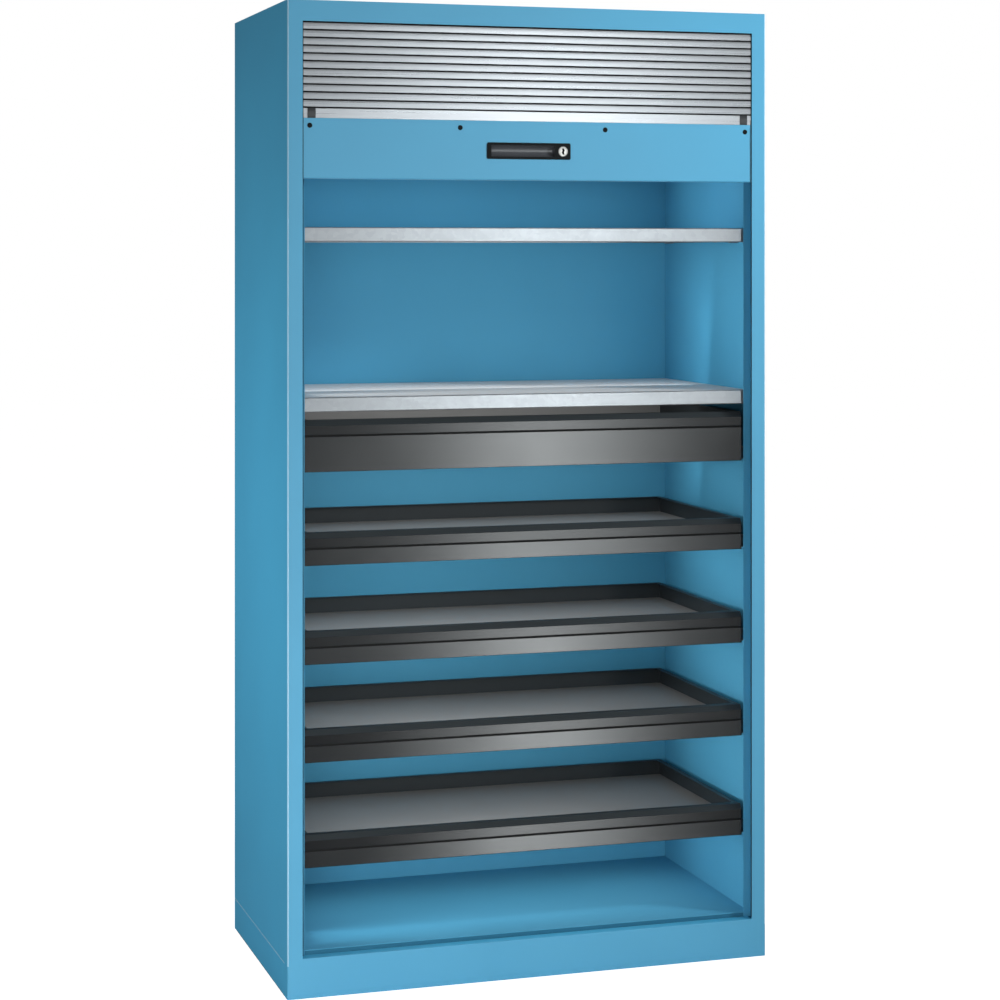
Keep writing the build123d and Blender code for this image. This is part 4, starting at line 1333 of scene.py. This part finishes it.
    def plug(self) -> None:
        """Turning plug with a key slot whose sides sway: x plus sway times a sine of the height."""
        room = Span.of("lock_plug")
        centre = np.array(room.centre)
        angles = math.pi * np.linspace(-self.plug_arc, self.plug_arc, self.plug_points)
        right = self.plug_radius * np.column_stack([np.cos(angles), np.sin(angles)])
        circle = centre + np.vstack([right, right[::-1] * [-1, 1]])
        small = centre + (circle - centre) * (1 - self.plug_rim / self.plug_radius)
        wide, tall, sway = self.slot
        share = np.linspace(-0.5, 0.5, self.plug_points)
        across = sway * np.sin(2 * math.pi * self.slot_waves * share)
        up = centre[1] + tall * share
        slot = np.vstack([
            np.column_stack([centre[0] + wide / 2 + across, up]),
            np.column_stack([centre[0] - wide / 2 + across, up])[::-1],
        ])
        place = Sweep.ALONG_DEPTH.place
        rings = [
            place(circle, room.d1), place(circle, room.d0 + self.plug_rim), place(small, room.d0),
            place(slot, room.d0), place(slot, room.d0 + self.slot_deep),
        ]
        shell = loft(rings, [0, 0, 0, 1])
        add_piece("lock_plug_turned", shell, "lock", [NICKEL, KEY_DARK], ["lock_plug"])


# ---------------------------------------------------------------- inside
@dataclass
class Shelves:
    """Two galvanised shelves with folded edges, and the clips that they rest on."""

    names: tuple[str, ...] = ("upper", "lower")
    sheet: float = 1.25
    bend: float = 0.8
    bend_steps: int = 4
    back_fold: float = 14.0

    def build(self) -> None:
        """Builds both shelves."""
        for name in self.names:
            node = f"shelf_{name}"
            room = Span.of(node)
            front, rear, low, top = room.d0, room.d1, room.z0, room.z1
            path = [
                (rear - self.back_fold, low), (rear, low), (rear, top), (front, top), (front, low),
                (front + self.back_fold, low),
            ]
            folded = bent(path, self.sheet, self.bend, self.bend_steps)
            tray = sheet_shell(folded, Sweep.ALONG_X, room.x0, room.x1)
            # The top face gets the pale zinc with painted light.
            tray.finish[2 * (self.bend_steps + 3)] = 1
            inside = room.x1 - self.sheet
            side = Span(inside, room.x1, front + self.sheet, rear - self.sheet, low, top - self.sheet)
            shell = tray + plate_shell(side).both_sides()
            add_piece(f"{node}_sheet", shell, "cabinet", [SHELF_ZINC, SHELF_TOP_PAINTED_LIGHT], [node])
        dress("shelf_clips", SHELF_ZINC)


@dataclass
class PullOut:
    """A drawer or tray: folded front, tray with a rim, and roller slides on both sides."""

    name: str
    pale_back: bool = False
    front_sheet: float = 0.8
    front_bend: float = 0.1
    bend_steps: int = 3
    label: float = 18.5
    groove: float = 3.0
    groove_deep: float = 5.0
    slope: float = 11.0
    slope_run: float = 8.0
    hem: float = 11.0
    hem_points: int = 4
    top_faces: int = 14  # faces of the hem, the top and the sloping band, counted from the hem
    strip_faces: int = 7
    end_set: float = 0.2
    strip_set: float = 1.0
    sheet: float = 1.25
    fold: float = 1.0
    fold_share: float = 0.3
    corner: float = 3.0
    inner_corner: float = 2.0
    low_corner: float = 2.5
    high_corner: float = 2.7
    rim: float = 12.0
    rim_edge: float = 0.4
    rim_corner: float = 1.6
    lift: float = 29.0
    runner: float = 25.0
    runner_bend: float = 0.6
    rail_inset: float = 2.7
    rail_reach: float = 13.8
    bar: tuple[float, float] = (458.3, 460.3)
    bar_half: float = 6.5
    bar_lift: float = 16.0
    bar_corner: float = 4.0
    wheel: float = 10.5
    wheel_edge: float = 0.9
    wheel_sides: int = 18
    wheel_shift: float = 0.5
    pin: float = 3.4
    pin_head: Outline = ((0.7, 0.8), (1.0, 0.4))
    pin_sides: int = 12
    outer_wheels: tuple[float, float] = (230.0, 420.0)
    inner_wheels: tuple[float, float] = (20.0, 210.0)
    outer_reach: tuple[float, float] = (461.2, 472.7)
    inner_reach: tuple[float, float] = (457.4, 445.8)

    def build(self) -> None:
        """Builds the front, the tray and the carriages."""
        self.front()
        self.tray()
        self.carriages()

    def front(self) -> None:
        """Folded front: face, groove, label strip, sloping band and hem, with closed ends."""
        node = f"{self.name}_front"
        room = Span.of(node)
        strip = room.z1 - self.slope
        face_top = strip - self.label - self.groove
        deep = room.d0 + self.groove_deep
        profile = [
            (room.d1, room.z0), (room.d0, room.z0), (room.d0, face_top), (deep, face_top),
            (deep, face_top + self.groove), (room.d0, face_top + self.groove), (room.d0, strip),
            (room.d0 + self.slope_run, room.z1), (room.d1, room.z1), (room.d1, room.z1 - self.hem),
        ]
        faces = bent(profile[::-1], self.front_sheet, self.front_bend, self.bend_steps)
        sheet = sheet_shell(faces, Sweep.ALONG_X, room.x0, room.x1)
        strip_end = self.top_faces + self.strip_faces
        # The hem, top and sloping band get the anthracite with painted light, the label strip the one with
        # painted shade.
        sheet.finish[:strip_end] = [1] * self.top_faces + [2] * self.strip_faces
        outline = ((faces[0] + faces[1]) / 2)[self.hem_points:]
        edge = self.front_sheet
        end = bar_shell(outline, Sweep.ALONG_X, room.x1 - edge, room.x1 - self.end_set)
        add_piece(
            f"{node}_sheet", sheet + end.both_sides(), self.name,
            [ANTHRACITE_COAT, ANTHRACITE_MATT_PAINTED_LIGHT, ANTHRACITE_STRIP_PAINTED_SHADE], [node],
        )
        # A black rubber strip in the groove: painted shade that draws the groove as a dark line.
        seal = plate_shell(Span(
            room.x0 + edge, room.x1 - edge, room.d0 + self.strip_set, deep, face_top, face_top + self.groove,
        ))
        add_piece(f"{node}_groove_shade_line_strip", seal, self.name, [SEAL_RUBBER_PAINTED_SHADE])

    def tray(self) -> None:
        """Tray: walls with a flat rim, grey floor, and the channels under it.

        The walls are lofted over rounded rectangles: up the outside, over the rim and down the inside.
        """
        node = f"{self.name}_body"
        room, carriage = Span.of(node), Span.of(f"{self.name}_carriage")
        low, top = Span.of(f"{self.name}_front").z0 + self.lift, room.z1
        fold, early, lip, sheet = self.fold, self.fold_share * self.fold, self.rim - self.rim_edge, self.sheet
        corner, inner_corner = self.corner, self.inner_corner
        way = (  # inset, corner radius and height
            (fold, inner_corner, low), (early, self.low_corner, low + early), (0.0, corner, low + fold),
            (0.0, corner, low + fold + SUPPORT), (0.0, corner, top - fold - SUPPORT),
            (0.0, corner, top - fold), (early, self.high_corner, top - early), (fold, inner_corner, top),
            (lip, inner_corner, top), (self.rim, self.rim_corner, top - sheet / 2),
            (lip, inner_corner, top - sheet), (sheet, inner_corner, top - sheet),
            (sheet, inner_corner, low + sheet),
        )
        rings = []
        for inset, radius, height in way:
            sides = (room.x0 + inset, room.x1 - inset, room.d0 + inset, room.d1 - inset)
            rings.append(Sweep.ALONG_Z.place(ring_points(*sides, (radius,) * 4), height))
        walls = loft(rings)
        walls.finish[-1] = 1
        if self.pale_back:
            around = len(rings[0])
            inner = slice((len(rings) - 2) * around, (len(rings) - 1) * around)
            centres = walls.points[np.array(walls.faces[inner])].mean(axis=1)
            walls.finish[inner] = (centres[:, 1] > FRONT_Y + room.d1 - 2 * sheet).astype(int).tolist()
        edge, foot = room.x1 - self.rail_inset, low - self.runner
        web = edge - self.rail_reach
        path = [(edge, low), (web, low), (web, foot), (edge, foot)]
        channel = bent(path, self.front_sheet, self.runner_bend, self.bend_steps)
        rail = sheet_shell(channel, Sweep.ALONG_DEPTH, carriage.d0, room.d1)
        # The walls take the anthracite with painted light, the floor the plain grey.
        add_piece(
            f"{self.name}_tray", walls + rail.both_sides(), self.name,
            [ANTHRACITE_MATT_PAINTED_LIGHT, GREY_COAT], [node],
        )

    def roller(self, reach: tuple[float, float], depth: float, z: float) -> tuple[Shell, Shell]:
        """Roller with broken edges, and the riveted pin that holds it to the bar.

        Args:
            reach: X of the roller's face beside the bar, and of its other face.
            depth: Depth of the axis.
            z: Height of the axis.

        Returns:
            The roller and the pin.
        """
        near, far = reach
        side = math.copysign(self.wheel_edge, far - near)
        small = self.wheel - self.wheel_edge
        wheel = [
            (self.pin, near), (small, near), (self.wheel, near + side), (self.wheel, far - side),
            (small, far), (self.pin, far),
        ]
        bar = self.bar[0] if side > 0 else self.bar[1]
        head = [(self.pin * share, bar - side * out) for share, out in self.pin_head]
        return (
            turned(wheel, (depth, z), Sweep.ALONG_X, self.wheel_sides),
            turned([*head, (self.pin, near)], (depth, z), Sweep.ALONG_X, self.pin_sides),
        )

    def carriages(self) -> None:
        """Carriage bars with rounded corners, their rollers and pins, on both sides."""
        node = f"{self.name}_carriage"
        room, low = Span.of(node), Span.of(f"{self.name}_front").z0
        middle = low + self.bar_lift
        sides = rectangle(room.d0, room.d1, middle - self.bar_half, middle + self.bar_half)
        outline = rounded(sides, self.bar_corner)
        rows = (
            (self.outer_reach, self.outer_wheels, middle - self.wheel_shift),
            (self.inner_reach, self.inner_wheels, middle + self.wheel_shift),
        )
        wheels, pins = zip(*(
            self.roller(reach, room.d0 + place, height) for reach, places, height in rows for place in places
        ))
        steel = joined([bar_shell(outline, Sweep.ALONG_X, *self.bar), *pins])
        body = f"{self.name}_slides"
        add_piece(f"{node}_bars", steel.both_sides(), body, [ZINC], [node])
        add_piece(
            f"{node}_rollers", joined(wheels).both_sides(), body, [ROLLER_PLASTIC],
        )


@dataclass
class CabinetRails:
    """Channels on the inner walls that the outer rollers run in."""

    height: float = 25.0
    lift: float = 3.0
    reach: float = 12.7
    sheet: float = 1.5
    bend: float = 0.6
    rivets: tuple[float, ...] = (40.0, 250.0, 460.0)
    rivet: Outline = ((3.5, 0.1), (3.5, -0.3), (2.6, -0.6))
    rivet_sides: int = 14

    def build(self) -> None:
        """Builds one channel for each pull-out and side, with flat rivet heads in its web."""
        room = Span.of("cabinet_rails")
        edge, web = room.x1 - self.reach, room.x1 - self.sheet
        head = [(radius, web + out) for radius, out in self.rivet]
        shells = []
        for node in FRONT_NODES:
            low = Span.of(node).z0 + self.lift
            middle, high = low + self.height / 2, low + self.height
            path = [(edge, low), (room.x1, low), (room.x1, high), (edge, high)]
            channel = bent(path, self.sheet, self.bend)
            shells.append(sheet_shell(channel, Sweep.ALONG_DEPTH, room.d0, room.d1))
            for place in self.rivets:
                shells.append(turned(head, (room.d0 + place, middle), Sweep.ALONG_X, self.rivet_sides))
        add_piece(
            "cabinet_rail_channels", joined(shells).both_sides(), "cabinet", [ZINC],
            ["cabinet_rails"],
        )


@dataclass
class Counterbalance:
    """Spring shaft, drums and brackets behind the curtain box, kept as solids with real finishes."""

    finishes: dict[str, Finish]

    def build(self) -> None:
        """Dresses each node."""
        for node, finish in self.finishes.items():
            dress(node, finish)


# ---------------------------------------------------------------- studio
class Reach(Enum):
    """What a soft box adds to: shade, mirror images or both."""

    SHADE = (True, False)
    REFLECTIONS = (False, True)
    BOTH = (True, True)


@dataclass
class SoftBox:
    """A rectangular area light in metres, aimed at a point and hidden from view."""

    name: str
    place: tuple[float, float, float]
    target: tuple[float, float, float]
    size: tuple[float, float]
    watts: float
    reach: Reach = Reach.BOTH
    tint: tuple[float, float, float] = (1.0, 1.0, 1.0)
    spread: float = 180.0

    def build(self) -> None:
        """Adds the light."""
        light = bpy.data.lights.new(self.name, "AREA")
        light.shape = "RECTANGLE"
        light.size, light.size_y = self.size
        light.energy, light.color, light.spread = self.watts, self.tint, math.radians(self.spread)
        box = bpy.data.objects.new(self.name, light)
        box.location = self.place
        box.rotation_euler = (Vector(self.target) - Vector(self.place)).to_track_quat("-Z", "Y").to_euler()
        box.visible_camera = False
        box.visible_diffuse, box.visible_glossy = self.reach.value
        bpy.context.scene.collection.objects.link(box)


@dataclass(frozen=True)
class Compartment:
    """Space between two nodes, lit by hidden soft boxes, in metres, so that it isn't lost in shade.

    The first three numbers are the watts of the box under its ceiling, of the box that shines from the
    opening onto the rear wall, and of the box at the left wall.
    """

    ceiling: str
    ground: str
    above: float
    inward: float
    beside: float
    forward: float = 0.02
    under_ceiling: float = 0.006
    over_ground: float = 0.01
    off_wall: float = 0.02
    above_size: tuple[float, float] = (0.88, 0.4)
    lean: float = 0.001
    inward_place: tuple[float, float] = (-0.12, -0.2)
    inward_target: tuple[float, float] = (-0.1, 0.22)
    inward_size: tuple[float, float] = (0.6, 0.03)
    inward_drop: float = 0.02
    beside_depths: tuple[float, float] = (-0.17, -0.2)
    beside_width: float = 0.1
    beside_spread: float = 60.0

    def boxes(self) -> list[SoftBox]:
        """Soft boxes of the compartment.

        Returns:
            The boxes with more than no watts.
        """
        high = Span.of(self.ceiling).z0 * MM - self.under_ceiling
        low = Span.of(self.ground).z1 * MM + self.over_ground
        left, middle = Span.of("side_wall_left").x1 * MM + self.off_wall, (high + low) / 2
        near, aim = self.beside_depths
        made = [
            SoftBox(
                f"fill_above_{self.ground}", (0.0, -self.forward, high), (0.0, self.lean - self.forward, low),
                self.above_size, self.above, Reach.SHADE,
            ),
            SoftBox(
                f"fill_inward_{self.ground}", (*self.inward_place, high - self.inward_drop),
                (*self.inward_target, middle), self.inward_size, self.inward, Reach.SHADE,
            ),
            SoftBox(
                f"fill_beside_{self.ground}", (left, near, middle), (0.0, aim, middle),
                (self.beside_width, high - low), self.beside, Reach.SHADE, spread=self.beside_spread,
            ),
        ]
        return [box for box in made if box.watts]


COMPARTMENTS = (
    Compartment("box_cover", "shelf_upper", 1.0, 0.4, 0.2),
    Compartment("shelf_upper", "shelf_lower", 0.33, 0.0, 0.5, 0.12),
    Compartment("shelf_lower", "drawer_front", 1.9, 0.5, 0.0),
    Compartment("drawer_front", "tray_1_front", 0.75, 0.3, 0.25, 0.05),
    Compartment("tray_1_front", "tray_2_front", 0.85, 1.0, 0.35, 0.05),
    Compartment("tray_2_front", "tray_3_front", 0.7, 0.8, 0.38, 0.05),
    Compartment("tray_3_front", "tray_4_front", 0.65, 0.6, 0.4, 0.05),
    Compartment("tray_4_front", "floor_panel", 1.0, 0.15, 0.2, 0.08),
)

LIGHTS = (
    # A long bank in front, seen only as the bright bands on gloss coat and zinc.
    SoftBox(
        "strip", (1.6, -5.5, 0.75), (0.0, 0.0, 0.75), (0.44, 4.6), 92.0, Reach.REFLECTIONS, (0.94, 0.99, 1.0),
    ),
    # Main light, large and from the left, so shadows stay soft.
    SoftBox("front", (-1.7, -6.5, 1.9), (0.0, 0.0, 1.0), (2.4, 2.4), 22.0),
    # Lifts the foot and the lower fronts at the left.
    SoftBox("low_left", (-1.0, -2.3, 0.2), (-0.4, -0.29, 0.3), (0.6, 0.6), 8.5, spread=110.0),
    # Lifts the head of the cabinet at the right.
    SoftBox("high_right", (2.4, -1.9, 2.4), (0.4, -0.29, 1.8), (0.5, 0.5), 22.0, Reach.SHADE, spread=100.0),
    # Grades the left side panel from its middle.
    SoftBox("side", (-1.65, 0.0, 0.95), (-0.5, 0.0, 0.95), (0.5, 0.3), 7.5, Reach.SHADE),
)


@dataclass
class Studio:
    """Pale floor, even light, soft boxes and the camera, in metres."""

    boxes: Sequence[SoftBox]
    ambient: float = 0.2
    mirrored: float = 0.18
    floor_lift: float = 0.81
    floor_colour: str = "FAFAFA"
    floor_roughness: float = 0.9
    floor_size: float = 40.0
    floor_drop: float = 0.0005
    place: tuple[float, float, float] = (-1.506, -5.3499, 1.4613)
    yaw: float = 18.9535
    sensor: float = 36.0
    lens: float = 94.5
    shift: tuple[float, float] = (-0.1428, -0.25)

    def build(self) -> None:
        """Builds all of the studio."""
        self.surroundings()
        self.floor()
        self.camera()
        for box in self.boxes:
            box.build()

    def surroundings(self) -> None:
        """Even light from all round, a little darker in reflections, with a white backdrop in view."""
        world = bpy.data.worlds.new("studio")
        world.use_nodes = True
        tree = world.node_tree
        tree.nodes.clear()
        path = add_node(tree, "ShaderNodeLightPath")
        level = add_node(tree, "ShaderNodeMix", {
            0: path.outputs["Is Glossy Ray"], 2: self.ambient, 3: self.mirrored,
        })
        even = add_node(tree, "ShaderNodeBackground", {"Color": WHITE, "Strength": level.outputs[0]})
        white = add_node(tree, "ShaderNodeBackground", {"Color": WHITE, "Strength": 1.0})
        mix = add_node(tree, "ShaderNodeMixShader", {
            0: path.outputs["Is Camera Ray"], 1: even.outputs["Background"], 2: white.outputs["Background"],
        })
        add_node(tree, "ShaderNodeOutputWorld", {"Surface": mix.outputs["Shader"]})
        bpy.context.scene.world = world
        bpy.context.scene.view_settings.view_transform = "Standard"

    def floor(self) -> None:
        """Pale floor just under the feet, lifted to white for the camera, where its shadow stays."""
        half = self.floor_size / 2
        corners = [(-half, -half, 0.0), (half, -half, 0.0), (half, half, 0.0), (-half, half, 0.0)]
        mesh = bpy.data.meshes.new("studio_floor")
        mesh.from_pydata(corners, [], [(0, 1, 2, 3)])
        material = bpy.data.materials.new("pale_studio_floor")
        material.use_nodes = True
        tree = material.node_tree
        tree.nodes.clear()
        path = add_node(tree, "ShaderNodeLightPath")
        lift = add_node(tree, "ShaderNodeMath", {
            0: path.outputs["Is Camera Ray"], 1: self.floor_lift,
        }, operation="MULTIPLY")
        surface = add_node(tree, "ShaderNodeBsdfPrincipled", {
            "Base Color": linear(self.floor_colour), "Roughness": self.floor_roughness,
            "Specular IOR Level": 0.0, "Emission Color": WHITE, "Emission Strength": lift.outputs["Value"],
        })
        add_node(tree, "ShaderNodeOutputMaterial", {"Surface": surface.outputs["BSDF"]})
        mesh.materials.append(material)
        floor = bpy.data.objects.new("studio_floor", mesh)
        floor.location.z = -self.floor_drop
        floor.visible_glossy = False
        bpy.context.scene.collection.objects.link(floor)
        floor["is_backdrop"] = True

    def camera(self) -> None:
        """Level camera on the left of the front, shifted so that the cabinet's uprights stay parallel."""
        data = bpy.data.cameras.new("camera")
        data.sensor_width = self.sensor
        data.lens = self.lens
        data.shift_x, data.shift_y = self.shift
        camera = bpy.data.objects.new("camera", data)
        turn = Matrix.Rotation(-math.radians(self.yaw), 4, "Z")
        level = Matrix.Rotation(math.pi / 2, 4, "X")
        camera.matrix_world = Matrix.Translation(self.place) @ turn @ level
        bpy.context.scene.collection.objects.link(camera)
        bpy.context.scene.camera = camera


def note_size(when: str) -> None:
    """Args:
        when: Key that they are kept under.
    """
    sizes = SIZES | {when: [list(corner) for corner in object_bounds()]}
    SIZES.update(sizes)


def main() -> None:
    """Builds the studio and then the cabinet, from the outside in."""
    logging.basicConfig(level=logging.INFO, format="%(name)s: %(message)s")
    Studio([*LIGHTS, *(box for room in COMPARTMENTS for box in room.boxes())]).build()
    Casing().build()
    Curtain().build()
    Handle().build()
    Shelves().build()
    for name in PULL_OUTS:
        PullOut(name, pale_back=name == "drawer").build()
    CabinetRails().build()
    Counterbalance({
        "shaft_brackets": ZINC, "shaft_axle": ZINC, "spring_shaft": ZINC, "shaft_bearings": BLACK_PLASTIC,
        "balance_springs": ZINC, "belt_drums": DRUM_PLASTIC,
    }).build()
    note_size("built")
    log.info("the studio and the cabinet are built")


if __name__ == "__main__":
    main()
